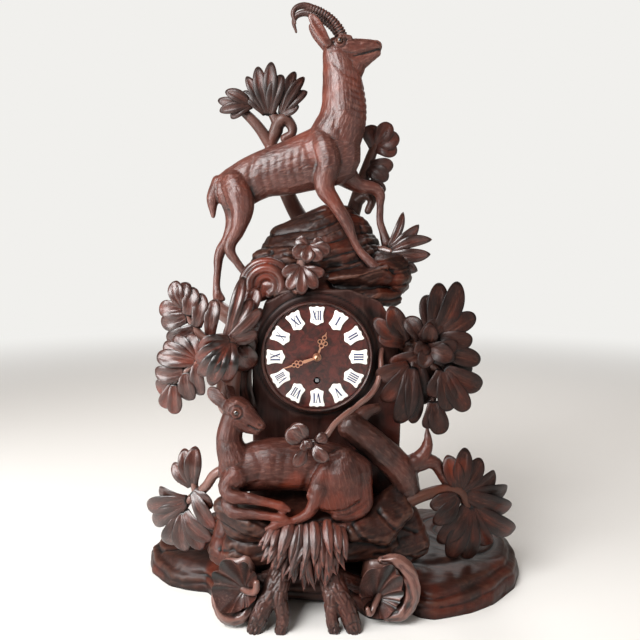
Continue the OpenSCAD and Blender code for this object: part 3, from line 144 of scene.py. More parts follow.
def softNoise(points, seed=0):
    # a smooth random value from -1 to 1 at each point, one hill or hollow a unit
    cell = np.floor(points).astype(np.int64)
    part = points - cell
    part = part * part * (3 - 2 * part)
    total = np.zeros(len(points))
    for corner in range(8):
        step = np.array([corner & 1, corner >> 1 & 1, corner >> 2 & 1])
        key = (cell + step) @ np.array([73856093, 19349663, 83492791]) + seed * 1013904223
        key = (key ^ (key >> 13)) * 1274126177
        value = ((key ^ (key >> 16)) & 0xffff) / 32767.5 - 1
        total += value * np.prod(np.where(step == 1, part, 1 - part), axis=1)
    return total


def addHills(cut, points, hills):
    # hills and hollows laid over a cut: height, width and seed of each kind
    for height, width, seed in hills:
        cut = cut + height * softNoise(points / width, seed)
    return cut


def cellNoise(points, seed=0):
    # distance to the nearest and to the second nearest of scattered spots, one spot a unit cell
    home = np.floor(points).astype(np.int64)
    near = np.full(len(points), 9.0)
    second = np.full(len(points), 9.0)
    for corner in range(27):
        cell = home + np.array([corner % 3 - 1, corner // 3 % 3 - 1, corner // 9 - 1])
        spot = cell + 0.5 + 0.42 * np.stack([softNoise(cell * 1.37 + 0.4, seed + axis) for axis in range(3)],
                                            axis=1)
        gap = np.linalg.norm(points - spot, axis=1)
        second = np.minimum(second, np.maximum(near, gap))
        near = np.minimum(near, gap)
    return near, second


def smoothStep(low, high, values):
    share = np.clip((values - low) / (high - low), 0, 1)
    return share * share * (3 - 2 * share)


def alongLimbs(points, paths):
    # where each point lies beside the nearest limb: distance along it, and two offsets from its middle line
    best = np.full(len(points), 1e9)
    flow = np.zeros((len(points), 3))
    for path in paths:
        start = 0.0
        for p, q in zip(path, path[1:]):
            a, b = np.array(p[:3], float), np.array(q[:3], float)
            length = np.linalg.norm(b - a) + 1e-9
            way = (b - a) / length
            share = np.clip((points - a) @ way / length, 0, 1)
            offset = points - a - share[:, None] * (b - a)
            gap = np.linalg.norm(offset, axis=1) / (p[3] + (q[3] - p[3]) * share)
            side = np.cross(way, (0.13, 0.99, 0.05))
            side /= np.linalg.norm(side)
            here = gap < best
            best[here] = gap[here]
            found = np.stack([start + share * length, offset @ side, offset @ np.cross(way, side)], axis=1)
            flow[here] = found[here]
            start += length
    return flow


def gouge(obj, cuts, shift=(0, 0, 0), facing=0.2):
    # grooves (depth above zero) and ridges (below zero) seen from the side: x, z points, width, depth
    points, normals = readSurface(obj)
    flank = smoothStep(facing, facing + 0.35, np.abs(normals[:, 1]))
    seen = points[:, [0, 2]] - (shift[0], shift[2])
    lift = np.zeros(len(points))
    for path, width, depth in cuts:
        gap = np.full(len(points), 1e9)
        for p, q in zip(path, path[1:]):
            a, b = np.array(p, float), np.array(q, float)
            share = np.clip((seen - a) @ (b - a) / ((b - a) @ (b - a)), 0, 1)
            gap = np.minimum(gap, np.linalg.norm(seen - a - share[:, None] * (b - a), axis=1))
        lift -= depth * np.exp(-(gap / width) ** 2)
    writePoints(obj, points + normals * (lift * flank)[:, None])


def circlePath(x, z, radius):
    turns = [2 * math.pi * i / 16 for i in range(17)]
    return [(x + radius * math.cos(a), z + radius * math.sin(a)) for a in turns]


def smoothLoop(knots, steps=4):
    # a closed curve through the knots
    count = len(knots)
    made = []
    for i in range(count):
        a, b, c, d = (np.array(knots[(i + k) % count], float) for k in (-1, 0, 1, 2))
        for step in range(steps):
            t = step / steps
            made.append(0.5 * (2 * b + (c - a) * t + (2 * a - 5 * b + 4 * c - d) * t ** 2
                               + (3 * b - a - 3 * c + d) * t ** 3))
    return made


def shadeHollows(obj, rounds, deep):
    # stores how far each vertex lies below (+) or above (-) its surroundings, used for painted shade in the
    # hollows and for wear with a painted highlight on the ridges
    points, normals = readSurface(obj)
    ends = np.empty(len(obj.data.edges) * 2, dtype=np.int32)
    obj.data.edges.foreach_get("vertices", ends)
    a, b = ends.reshape(-1, 2).T
    count = len(points)
    degree = np.maximum(np.bincount(ends, minlength=count), 1)
    smooth = points.copy()
    for turn in range(rounds):
        smooth = np.stack([np.bincount(a, smooth[b, axis], count) + np.bincount(b, smooth[a, axis], count)
                           for axis in range(3)], axis=1) / degree[:, None]
    depth = np.einsum("ij,ij->i", normals, smooth - points)
    storeValues(obj, "hollow", "FLOAT", np.clip(depth / deep, -0.5, 1))


def storeCarving(obj, points, flow, rounds, deep):
    writePoints(obj, points)
    storeFlow(obj, flow)
    shadeHollows(obj, rounds, deep)


# Carved forms: limbs, slabs, leaf fingers

def ball(place, segments=14):
    bpy.ops.mesh.primitive_uv_sphere_add(segments=segments, ring_count=segments // 2, radius=place[3] * mm,
                                         location=[v * mm for v in place[:3]])
    return bpy.context.object


def shifted(path, shift):
    return [tuple(p[i] + shift[i] for i in range(3)) + tuple(p[3:]) for p in path]


def limb(path, around=5):
    # a round limb that tapers smoothly through [x, y, z, radius] points, with round ends
    bpy.ops.curve.primitive_bezier_curve_add(location=(0, 0, 0))
    curve = bpy.context.object
    curve.data.dimensions = "3D"
    curve.data.bevel_depth = 1
    curve.data.bevel_resolution = around
    curve.data.resolution_u = 5
    curve.data.use_fill_caps = True
    spline = curve.data.splines[0]
    spline.bezier_points.add(len(path) - 2)
    for knot, place in zip(spline.bezier_points, path):
        knot.co = [v * mm for v in place[:3]]
        knot.radius = place[3] * mm
        knot.handle_left_type = "AUTO"
        knot.handle_right_type = "AUTO"
    selectOnly(curve)
    bpy.ops.object.convert(target="MESH")
    return [bpy.context.object, ball(path[0]), ball(path[-1])]


def limbs(paths):
    made = []
    for path in paths:
        made += limb(path)
    return made


def squeeze(objs, middle, share):
    # flattens a body towards the plane y = middle
    for obj in objs:
        selectOnly(obj)
        bpy.ops.object.transform_apply(location=True, rotation=True, scale=True)
        points = readPoints(obj)
        points[:, 1] = middle + (points[:, 1] - middle) * share
        writePoints(obj, points)
    return objs


def slab(knobs):
    # a rounded block of rock drawn tight over a few knobs
    rock = joinPieces([ball(knob, segments=12) for knob in knobs], "slab")
    editAll(bpy.ops.mesh.convex_hull)
    return rock


bpy.ops.mesh.primitive_uv_sphere_add(segments=44, ring_count=28, radius=1, location=(0, 0, 0))
fingerStart = bpy.context.object
fingerSphere = readPoints(fingerStart) * mm

# profiles of a leaf finger: how full, widest point along it, neck width, blunt tip, groove, midrib, swell
fingerLooks = {
    "oak": {"full": 1.24, "widest": 0.6, "neck": 0.7, "blunt": 0.5, "groove": 0.8, "rib": 0.35,
            "swell": 0.55},
    "pointed": {"full": 1.12, "widest": 0.48, "neck": 0.62, "blunt": 0.72, "groove": 0.9, "rib": 0.4,
                "swell": 0.5},
    "wavy": {"full": 1.16, "widest": 0.56, "neck": 0.64, "blunt": 0.54, "groove": 0.9, "rib": 0.4,
             "swell": 0.55},
    "blade": {"full": 1.0, "widest": 0.35, "neck": 0.75, "blunt": 1.0, "groove": -0.5, "rib": 0.0,
              "swell": 0.3},
    "clover": {"full": 1.15, "widest": 0.62, "neck": 0.4, "blunt": 0.48, "groove": 0.6, "rib": 0.2,
               "swell": 0.35}}


def finger(base, tip, width, thick, bow, cup, face=(0, -1, 0), look="oak"):
    # one leaf finger: a ball drawn out from base to tip, cupped, with a groove and a thin rib down its middle
    shape = fingerLooks[look]
    piece = copyOf(fingerStart)
    base, tip, face = np.array(base, float), np.array(tip, float), np.array(face, float)
    reach = np.linalg.norm(tip - base)
    along = (tip - base) / reach
    side = np.cross(along, face)
    side /= np.linalg.norm(side)
    out = np.cross(side, along)
    width = min(width * shape["full"], reach * 0.9)
    t = (1 + fingerSphere[:, 2]) / 2
    ring = np.hypot(fingerSphere[:, 0], fingerSphere[:, 1]) + 1e-9
    across, front = fingerSphere[:, 0] / ring, fingerSphere[:, 1] / ring
    rise = shape["neck"] + (1 - shape["neck"]) * smoothStep(0, shape["widest"], t)
    fall = np.clip(1 - ((t - shape["widest"]) / (1 - shape["widest"])) ** 2, 0, 1) ** shape["blunt"]
    half = width / 2 * np.where(t < shape["widest"], rise, fall) * np.clip(t / 0.04, 0, 1) ** 0.5
    half *= 1 + 0.05 * shuffle.normal()
    body = thick / 2 * (1.25 - 0.45 * t) * np.clip(half / (width * 0.22), 0, 1)
    shown = np.clip(front, 0, 1)
    middlePart = smoothStep(0, 0.12, t) * (1 - smoothStep(0.8, 0.98, t))
    lift = front * body * (1 + shape["swell"] * (1 - across ** 2))
    lift += cup * half * (across ** 2 - 0.3 * across ** 4)
    for depth, wide in ((-shape["groove"], 0.34), (shape["rib"], 0.1)):
        lift += depth * shown * middlePart * np.exp(-(across / wide) ** 2) * thick * 0.32
    lift += 0.16 * shuffle.normal() * across * half * t
    lift += reach * bow * 4 * t * (1 - t)
    lean = shuffle.normal() * 0.04 * reach * np.sin(t * math.pi)
    points = (base + along * (t * reach)[:, None] + side * (across * half + lean)[:, None]
              + out * lift[:, None])
    writePoints(piece, points)
    storeFlow(piece, np.stack([t * reach, across * half, lift], axis=1))
    return piece


def fingers(sets, shift, look):
    # a set has a base, tips and a width, then thickness, bow and cup where they aren't the usual ones
    made = []
    for base, tips, width, *own in sets:
        thick, bow, cup = own + [3.6, 0.14, 0.35][len(own):]
        for tip in tips:
            made.append(finger(np.add(base, shift), np.add(tip, shift), width, thick, bow, cup, look=look))
    return made


def bowlLeaf(look):
    # a leaf curled into a cup: its scalloped rim runs through the given points, its middle lies deep
    bpy.ops.mesh.primitive_uv_sphere_add(segments=108, ring_count=36, radius=1, location=(0, 0, 0))
    bowl = bpy.context.object
    unit = readPoints(bowl) * mm
    middle = np.array(look["middle"], float)
    rim = np.array(smoothLoop([np.subtract(p, middle) for p in look["rims"]], 8))
    angles = np.arctan2(rim[:, 2], rim[:, 0])
    order = np.argsort(angles)
    turn = np.arctan2(unit[:, 1], unit[:, 0])
    width = np.interp(turn, angles[order], np.hypot(rim[:, 0], rim[:, 2])[order], period=2 * math.pi)
    height = np.interp(turn, angles[order], rim[order, 1], period=2 * math.pi)
    part = np.hypot(unit[:, 0], unit[:, 1])
    uneven = turn + 0.3 * np.sin(2 * turn + look["lobes"]) + 0.12 * np.sin(5 * turn)
    lobed = 1 + look["scallop"] * (np.abs(np.cos(look["lobes"] / 2 * uneven)) - 0.5) * part ** 3
    y = middle[1] + height * part ** look["curl"]
    y += look["flute"] * np.cos(look["lobes"] * uneven) * part * (1 - 0.4 * part)
    y -= look["rib"] * np.exp(-(np.cos(look["lobes"] / 2 * uneven) / 0.3) ** 2) * smoothStep(0.1, 0.4, part)
    y += look["ruffle"] * np.sin(3 * turn + 0.6) * part ** 2
    y += np.where(unit[:, 2] < 0, look["thick"] * np.sqrt(np.clip(1 - part ** 2, 0, 1)), 0)
    points = np.stack([middle[0] + width * lobed * part * np.cos(turn), y,
                       middle[2] + width * lobed * part * np.sin(turn)], axis=1)
    writePoints(bowl, points)
    storeFlow(bowl, np.stack([part * width, turn * 14, y], axis=1))
    return bowl


def rolledEdge(path):
    # the rolled rim of a leaf: a limb with six grooves cut along it, and nicks across every 21 mm
    roll = joinPieces(limb(path, around=14), "roll")
    points, normals = readSurface(roll)
    flow = alongLimbs(points, [path])
    turn = np.arctan2(flow[:, 2], flow[:, 1]) + flow[:, 0] / 60
    cut = 0.5 * np.cos(6 * turn) - 0.9 * np.clip(np.cos(flow[:, 0] / 3.4 + 1.2 * np.sin(turn)), 0.55, 1)
    writePoints(roll, points + normals * cut[:, None])
    storeFlow(roll, flow)
    return roll


def clearOfDial(obj):
    # pushes what lies inside the turned bezel outwards
    points = readPoints(obj)
    away = np.stack([points[:, 0], points[:, 2] - dialHeight], axis=1)
    radius = np.linalg.norm(away, axis=1) + 1e-9
    inside = (radius < bezelRadius) & (points[:, 1] > caseFront - 40)
    grow = np.where(inside, bezelRadius / radius, 1)
    points[:, 0] *= grow
    points[:, 2] = dialHeight + (points[:, 2] - dialHeight) * grow
    writePoints(obj, points)


def finishPiece(obj, name, nodes, finish):
    obj.name = name
    obj.data.name = name
    obj.data.materials.clear()
    obj.data.materials.append(finish)
    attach(obj, bodyOf[nodes[0]])
    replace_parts(obj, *nodes)
    return obj


def carveLeaf(piece, extra=()):
    # stems and fingers stay separate shells, so that their edges stay as crisp as a cut edge
    shift = piece.get("shift", (0, 0, 0))
    stemPaths = [shifted(path, shift) for path in piece["stems"]]
    stems = joinPieces(limbs(stemPaths), "stems")
    storeFlow(stems, alongLimbs(readPoints(stems), stemPaths))
    parts = [stems] + fingers(piece["fingers"], shift, piece.get("look", "oak")) + list(extra)
    leaf = joinPieces(parts, piece["name"])
    clearOfDial(leaf)
    bpy.ops.object.shade_smooth()
    shadeHollows(leaf, rounds=4, deep=0.8)
    return finishPiece(leaf, piece["name"], [piece["node"]], finishes[piece["finish"]])


def fuse(objs, name, voxel, rounds, floor=None):
    # melts overlapping forms into one skin, cut level at the floor
    body = joinPieces(objs, name)
    useModifier(body, "REMESH", mode="VOXEL", voxel_size=voxel * mm, use_smooth_shade=True)
    useModifier(body, "SMOOTH", factor=0.5, iterations=rounds)
    if floor is not None:
        editAll(bpy.ops.mesh.bisect, plane_co=(0, 0, floor * mm), plane_no=(0, 0, 1), use_fill=True,
                clear_inner=True)
    return body


# Materials

def hexColour(code):
    parts = [int(code[i:i + 2], 16) / 255 for i in (1, 3, 5)]
    return [p / 12.92 if p <= 0.04045 else ((p + 0.055) / 1.055) ** 2.4 for p in parts] + [1]


def addNode(tree, kind, settings=None, links=None):
    node = tree.nodes.new(kind)
    for key, value in (settings or {}).items():
        if isinstance(key, int) or key in node.inputs:
            node.inputs[key].default_value = value
        else:
            setattr(node, key, value)
    for key, source in (links or {}).items():
        tree.links.new(source, node.inputs[key])
    return node


def startMaterial(name):
    material = bpy.data.materials.new(name)
    material.use_nodes = True
    tree = material.node_tree
    return material, tree, tree.nodes["Principled BSDF"]


def coordinates(tree, output="Object"):
    return addNode(tree, "ShaderNodeTexCoord").outputs[output]


def stored(tree, name, output):
    return addNode(tree, "ShaderNodeAttribute", {"attribute_name": name}).outputs[output]


def mapped(tree, place, **settings):
    return addNode(tree, "ShaderNodeMapping", settings, {"Vector": place}).outputs[0]


def noise(tree, place, scale, detail, output="Fac", **more):
    settings = {"Scale": scale, "Detail": detail, **more}
    return addNode(tree, "ShaderNodeTexNoise", settings, {"Vector": place}).outputs[output]


def spread(tree, value, start, end, low=0, high=1):
    # low where the value is start, high where it is end, and level beyond them
    settings = {"From Min": start, "From Max": end, "To Min": low, "To Max": high}
    return addNode(tree, "ShaderNodeMapRange", settings, {"Value": value}).outputs[0]


def blend(tree, share, first, second):
    # mixes two colours: the first is a code or comes from another node, the second is a code
    node = addNode(tree, "ShaderNodeMix", {"data_type": "RGBA", 7: hexColour(second)}, {0: share})
    if isinstance(first, str):
        node.inputs[6].default_value = hexColour(first)
    else:
        tree.links.new(first, node.inputs[6])
    return node.outputs[2]


def bumps(tree, height, strength, distance):
    settings = {"Strength": strength, "Distance": distance}
    return addNode(tree, "ShaderNodeBump", settings, {"Height": height}).outputs[0]


def setSurface(tree, surface, links, values):
    for key, source in links.items():
        tree.links.new(source, surface.inputs[key])
    for key, value in values.items():
        surface.inputs[key].default_value = value


def carvedLime(name, look):
    # limewood, gouge carved, stained dark and waxed; the ridges get wear and a painted grey-pink highlight,
    # the hollows a painted shade that is nearly black
    material, tree, surface = startMaterial(name)
    place, hollow = coordinates(tree), stored(tree, "hollow", "Fac")
    # upright fibres of the block, 1.5 mm apart, so coarse because real ones would not show
    fibre = noise(tree, mapped(tree, place, Scale=(650, 650, 45)), scale=1, detail=3)
    # blotches of stain, about 30 mm wide, and warm places where the stain is thin
    blotch = noise(tree, place, scale=34, detail=4, Roughness=0.6)
    warmth = noise(tree, mapped(tree, place, Location=(0.7, 0.2, 0.4)), scale=19, detail=3)
    # tool strokes along the form
    strokePlace = mapped(tree, stored(tree, "flow", "Vector"), Scale=look["stroke"])
    stroke = noise(tree, strokePlace, scale=1, detail=3)
    # over the stain: thin places, dark fibres, tops of the tool strokes, then ridges lightened for wear and
    # for a painted grey-pink highlight
    colour = blend(tree, spread(tree, blotch, 0.36, 0.64), look["dark"], look["stain"])
    for tone, value, start, end, most in [("warm", warmth, 0.54, 0.66, look["warmShare"]),
                                          ("dark", fibre, 0.45, 0.75, 0.35),
                                          ("wornAndSheen", stroke, 0.5, 0.8, look["strokeTint"]),
                                          ("wornAndSheen", hollow, -0.15, -0.75, look["wearAndSheen"])]:
        colour = blend(tree, spread(tree, value, start, end, high=most), colour, look[tone])
    # painted shade: near black where the ambient occlusion node finds other surfaces close by or where the
    # surface lies hollow, as shade in the deep places and partly as dust and old wax there
    around = addNode(tree, "ShaderNodeAmbientOcclusion", {"samples": 6, "Distance": 0.014}).outputs["AO"]
    shadeAndDustShare = addNode(tree, "ShaderNodeMath", {"operation": "MAXIMUM"},
                      {0: spread(tree, around, 0.86, 0.28), 1: spread(tree, hollow, 0.06, 0.5)})
    height = addNode(tree, "ShaderNodeMath", {"operation": "MULTIPLY_ADD", 1: look["strokeDepth"]},
                     {0: stroke, 2: fibre})
    links = {"Base Color": blend(tree, shadeAndDustShare.outputs[0], colour, look["shadeAndDust"]),
             "Roughness": spread(tree, blotch, 0, 1, low=look["rough"] - 0.08, high=look["rough"] + 0.14),
             "Normal": bumps(tree, height.outputs[0], strength=0.6, distance=0.00025)}
    setSurface(tree, surface, links, {"Specular IOR Level": look["shine"], "Coat Weight": look["wax"],
                                      "Coat Roughness": 0.24})
    return material


def turnedBurl(name, look):
    # walnut burl veneer, polished: swirling red-brown figure with near black eyes
    material, tree, surface = startMaterial(name)
    place = coordinates(tree)
    drift = noise(tree, place, scale=55, detail=3, output="Color", Distortion=1.2)
    moved = addNode(tree, "ShaderNodeVectorMath", {"operation": "MULTIPLY_ADD", 1: (0.02, 0.02, 0.02)},
                    {0: drift, 2: place}).outputs[0]
    figure = noise(tree, moved, look["figure"], detail=6, Roughness=0.62, Distortion=0.8)
    eyes = addNode(tree, "ShaderNodeTexVoronoi", {"Scale": look["eyes"]}, {"Vector": moved})
    wood = blend(tree, spread(tree, figure, 0.36, 0.66), look["dark"], look["light"])
    spot = spread(tree, eyes.outputs["Distance"], 0.34, 0.1, high=0.75)
    links = {"Base Color": blend(tree, spot, wood, look["eye"]),
             "Normal": bumps(tree, figure, strength=0.15, distance=0.0002)}
    setSurface(tree, surface, links, {"Roughness": look["rough"], "Coat Weight": look["polish"],
                                      "Coat Roughness": 0.12})
    return material


def brushedMetal(name, look):
    # metal with fine brush marks in all directions and a little tarnish
    material, tree, surface = startMaterial(name)
    place = coordinates(tree)
    marks = noise(tree, mapped(tree, place, Scale=look["marks"]), scale=1, detail=2)
    stain = spread(tree, noise(tree, place, scale=90, detail=4), 0.45, 0.75, high=look["tarnish"])
    links = {"Base Color": blend(tree, stain, look["colour"], look["dull"]),
             "Roughness": spread(tree, marks, 0, 1, low=look["rough"] - 0.06, high=look["rough"] + 0.12),
             "Normal": bumps(tree, marks, strength=0.2, distance=0.00008)}
    setSurface(tree, surface, links, {"Metallic": 1})
    return material


def firedEnamel(name, look):
    # white vitreous enamel on copper: bright, wet gloss with a faint waviness
    material, tree, surface = startMaterial(name)
    wave = noise(tree, coordinates(tree), scale=160, detail=1)
    links = {"Base Color": blend(tree, wave, look["colour"], look["shade"]),
             "Normal": bumps(tree, wave, strength=0.1, distance=0.0002)}
    setSurface(tree, surface, links, {"Roughness": look["rough"], "Coat Weight": look["gloss"],
                                      "Coat Roughness": 0.05})
    return material


def glassBall(name, look):
    # an eye of brown glass, black where it looks outwards
    material, tree, surface = startMaterial(name)
    facing = addNode(tree, "ShaderNodeSeparateXYZ", None, {0: coordinates(tree, "Normal")})
    outwards = addNode(tree, "ShaderNodeMath", {"operation": "ABSOLUTE"}, {0: facing.outputs["Y"]})
    pupil = spread(tree, outwards.outputs[0], look["pupil"], look["pupil"] + 0.04)
    setSurface(tree, surface, {"Base Color": blend(tree, pupil, look["iris"], look["colour"])},
               {"Roughness": 0.06, "Coat Weight": 1})
    return material


finishes = {
    "oak": carvedLime("carved_limewood_leaves", {
        "dark": "#2f120c", "stain": "#52271d", "warm": "#7c2a11", "wornAndSheen": "#a07568", "shadeAndDust": "#0a0402",
        "warmShare": 0.6, "stroke": (0.1, 0.8, 0.8), "strokeDepth": 1.6, "strokeTint": 0.3, "wearAndSheen": 0.55,
        "rough": 0.3, "wax": 0.5, "shine": 0.45}),
    # red-stained leaf wood for the right-hand leaves, also darker than the oak finish as painted shade for
    # the side away from the lamps
    "redLeafShaded": carvedLime("carved_limewood_red_leaves_shaded", {
        "dark": "#1b0a06", "stain": "#37170e", "warm": "#5e210c", "wornAndSheen": "#744a3a", "shadeAndDust": "#060202",
        "warmShare": 0.75, "stroke": (0.1, 0.8, 0.8), "strokeDepth": 1.6, "strokeTint": 0.24, "wearAndSheen": 0.42,
        "rough": 0.42, "wax": 0.08, "shine": 0.24}),
    "fur": carvedLime("carved_limewood_hair", {
        "dark": "#3c1a13", "stain": "#5c3026", "warm": "#7c3018", "wornAndSheen": "#94695d", "shadeAndDust": "#120806",
        "warmShare": 0.38, "stroke": (0.13, 0.55, 0.55), "strokeDepth": 5.0, "strokeTint": 0.5, "wearAndSheen": 0.45,
        "rough": 0.38, "wax": 0.25, "shine": 0.5}),
    "deerFur": carvedLime("carved_limewood_deer_hair", {
        "dark": "#2f130c", "stain": "#4b231a", "warm": "#782b12", "wornAndSheen": "#825649", "shadeAndDust": "#0d0503",
        "warmShare": 0.5, "stroke": (0.13, 0.55, 0.55), "strokeDepth": 5.0, "strokeTint": 0.42, "wearAndSheen": 0.42,
        "rough": 0.42, "wax": 0.1, "shine": 0.34}),
    "rock": carvedLime("carved_limewood_rock", {
        "dark": "#1a0a06", "stain": "#32150d", "warm": "#581e0b", "wornAndSheen": "#684436", "shadeAndDust": "#060202",
        "warmShare": 0.6, "stroke": (0.05, 0.3, 0.3), "strokeDepth": 0.9, "strokeTint": 0.3, "wearAndSheen": 0.6,
        "rough": 0.44, "wax": 0.07, "shine": 0.26}),
    "shade": carvedLime("carved_limewood_case", {
        "dark": "#1e0c08", "stain": "#341812", "warm": "#521a0c", "wornAndSheen": "#5d463f", "shadeAndDust": "#080302",
        "warmShare": 0.5, "stroke": (0.05, 0.3, 0.3), "strokeDepth": 0.7, "strokeTint": 0.15, "wearAndSheen": 0.5,
        "rough": 0.45, "wax": 0.05, "shine": 0.22}),
    "bark": carvedLime("carved_limewood_bark", {
        "dark": "#28120d", "stain": "#42231b", "warm": "#682510", "wornAndSheen": "#825d52", "shadeAndDust": "#090403",
        "warmShare": 0.35, "stroke": (0.12, 0.5, 0.5), "strokeDepth": 1.2, "strokeTint": 0.25, "wearAndSheen": 0.4,
        "rough": 0.42, "wax": 0.15, "shine": 0.36}),
    "burl": turnedBurl("polished_walnut_burl", {
        "dark": "#200b08", "light": "#56201a", "eye": "#120605", "figure": 130, "eyes": 95,
        "rough": 0.32, "polish": 0.4}),
    "rim": turnedBurl("turned_walnut", {
        "dark": "#24100c", "light": "#4c261d", "eye": "#180a07", "figure": 90, "eyes": 60,
        "rough": 0.34, "polish": 0.35}),
    "board": turnedBurl("oiled_walnut_board", {
        "dark": "#301a13", "light": "#4c2c21", "eye": "#22110c", "figure": 60, "eyes": 25,
        "rough": 0.5, "polish": 0.1}),
    "brass": brushedMetal("brushed_brass", {
        "colour": "#c9a56a", "dull": "#8f6c35", "marks": (900, 900, 900), "tarnish": 0.6, "rough": 0.28}),
    "steel": brushedMetal("polished_steel", {
        "colour": "#9a9da2", "dull": "#5f6266", "marks": (1200, 1200, 1200), "tarnish": 0.4, "rough": 0.25}),
    "gilt": brushedMetal("gilt_copper", {
        "colour": "#dca88c", "dull": "#b07a5c", "marks": (1500, 1500, 1500), "tarnish": 0.5, "rough": 0.3}),
    "enamel": firedEnamel("white_enamel",
                          {"colour": "#f5f3ec", "shade": "#ebe8de", "rough": 0.2, "gloss": 0.5}),
    "ink": firedEnamel("fired_blue_black",
                       {"colour": "#1b2140", "shade": "#2c376e", "rough": 0.3, "gloss": 0.3}),
    "eye": glassBall("brown_glass", {"colour": "#0b0504", "iris": "#5a3420", "pupil": 0.78})}
print("scene: materials made")


# Camera, floor and lights

cameraLook = {"place": (3, -704, 340), "pitch": 5.2, "lens": 36, "sensor": 36, "nearest": 10}
bpy.ops.object.camera_add(location=[v * mm for v in cameraLook["place"]],
                          rotation=(math.radians(90 - cameraLook["pitch"]), 0, 0))
camera = bpy.context.object
camera.data.lens = cameraLook["lens"]
camera.data.sensor_width = cameraLook["sensor"]
camera.data.clip_start = cameraLook["nearest"] * mm
bpy.context.scene.camera = camera

# the stage and the lamps are in metres
stageLook = {"width": 9, "depth": 3.2, "near": -4, "height": 4, "bend": 0.9, "colour": "#e8e6e2",
             "wall": "#f1f0ed", "fade": (0.7, 2.6), "sky": "#f4e4d8", "skyStrength": 0.24,
             "lampAim": (0, -0.05, 0.3)}
bpy.ops.mesh.primitive_plane_add(size=1, location=(0, 0, 0))
floor = bpy.context.object
floor.name = "paleFloor"
corners = [(-1, stageLook["near"]), (1, stageLook["near"]), (-1, stageLook["depth"]), (1, stageLook["depth"])]
for vertex, (sideSign, depth) in zip(floor.data.vertices, corners):
    vertex.co = (sideSign * stageLook["width"] / 2, depth, 0)
selectOnly(floor)
bpy.ops.object.mode_set(mode="EDIT")
bpy.ops.mesh.select_all(action="DESELECT")
bpy.ops.object.mode_set(mode="OBJECT")
for edge in floor.data.edges:
    edge.select = all(floor.data.vertices[i].co.y > 0 for i in edge.vertices)
bpy.ops.object.mode_set(mode="EDIT")
bpy.ops.mesh.select_mode(type="EDGE")
bpy.ops.mesh.extrude_edges_move(TRANSFORM_OT_translate={"value": (0, 0, stageLook["height"])})
bpy.ops.object.mode_set(mode="OBJECT")
useModifier(floor, "BEVEL", width=stageLook["bend"], segments=12, limit_method="ANGLE")
selectOnly(floor)
bpy.ops.object.shade_smooth()
floorMaterial, floorTree, floorSurface = startMaterial("pale_paper")
floorSurface.inputs["Base Color"].default_value = hexColour(stageLook["colour"])
floorSurface.inputs["Roughness"].default_value = 0.9
away = addNode(floorTree, "ShaderNodeVectorMath", {"operation": "LENGTH"},
               {0: addNode(floorTree, "ShaderNodeTexCoord").outputs["Object"]})
fadeStart, fadeEnd = stageLook["fade"]
far = addNode(floorTree, "ShaderNodeMapRange",
              {"interpolation_type": "SMOOTHSTEP", "From Min": fadeStart, "From Max": fadeEnd},
              {"Value": away.outputs["Value"]})
seen = addNode(floorTree, "ShaderNodeMath", {"operation": "MULTIPLY"},
               {0: far.outputs[0], 1: addNode(floorTree, "ShaderNodeLightPath").outputs["Is Camera Ray"]})
plain = addNode(floorTree, "ShaderNodeEmission", {"Color": hexColour(stageLook["wall"])})
floorMix = addNode(floorTree, "ShaderNodeMixShader", None, {0: seen.outputs[0], 1: floorSurface.outputs[0],
                                                            2: plain.outputs[0]})
floorTree.links.new(floorMix.outputs[0], floorTree.nodes["Material Output"].inputs["Surface"])
floor.data.materials.append(floorMaterial)

lampLooks = [
    {"name": "keyLamp", "place": (-0.75, -1.15, 1.25), "size": 0.8, "power": 38},
    {"name": "sideLamp", "place": (-0.95, -0.55, 0.42), "size": 0.5, "power": 10},
    {"name": "fillLamp", "place": (1.2, -1.0, 0.7), "size": 1.0, "power": 3},
    {"name": "backLamp", "place": (0.3, 1.1, 1.3), "size": 0.9, "power": 9}]
for look in lampLooks:
    bpy.ops.object.light_add(type="AREA", location=look["place"])
    lamp = bpy.context.object
    lamp.name = look["name"]
    lamp.data.size = look["size"]
    lamp.data.energy = look["power"]
    aim = Vector(stageLook["lampAim"]) - lamp.location
    lamp.rotation_euler = aim.to_track_quat("-Z", "Y").to_euler()

world = bpy.data.worlds.new("studio")
bpy.context.scene.world = world
world.use_nodes = True
worldTree = world.node_tree
background = worldTree.nodes["Background"]
background.inputs["Color"].default_value = hexColour(stageLook["sky"])
background.inputs["Strength"].default_value = stageLook["skyStrength"]
plainWall = addNode(worldTree, "ShaderNodeBackground", {"Color": hexColour(stageLook["wall"]), "Strength": 1})
rays = addNode(worldTree, "ShaderNodeLightPath")
wallMix = addNode(worldTree, "ShaderNodeMixShader", None, {0: rays.outputs["Is Camera Ray"],
                                                          1: background.outputs[0], 2: plainWall.outputs[0]})
worldTree.links.new(wallMix.outputs[0], worldTree.nodes["World Output"].inputs["Surface"])
bpy.context.scene.view_settings.view_transform = "Standard"
print("scene: camera, floor and lamps set")


# Base: rock with two wings, ledge, roots

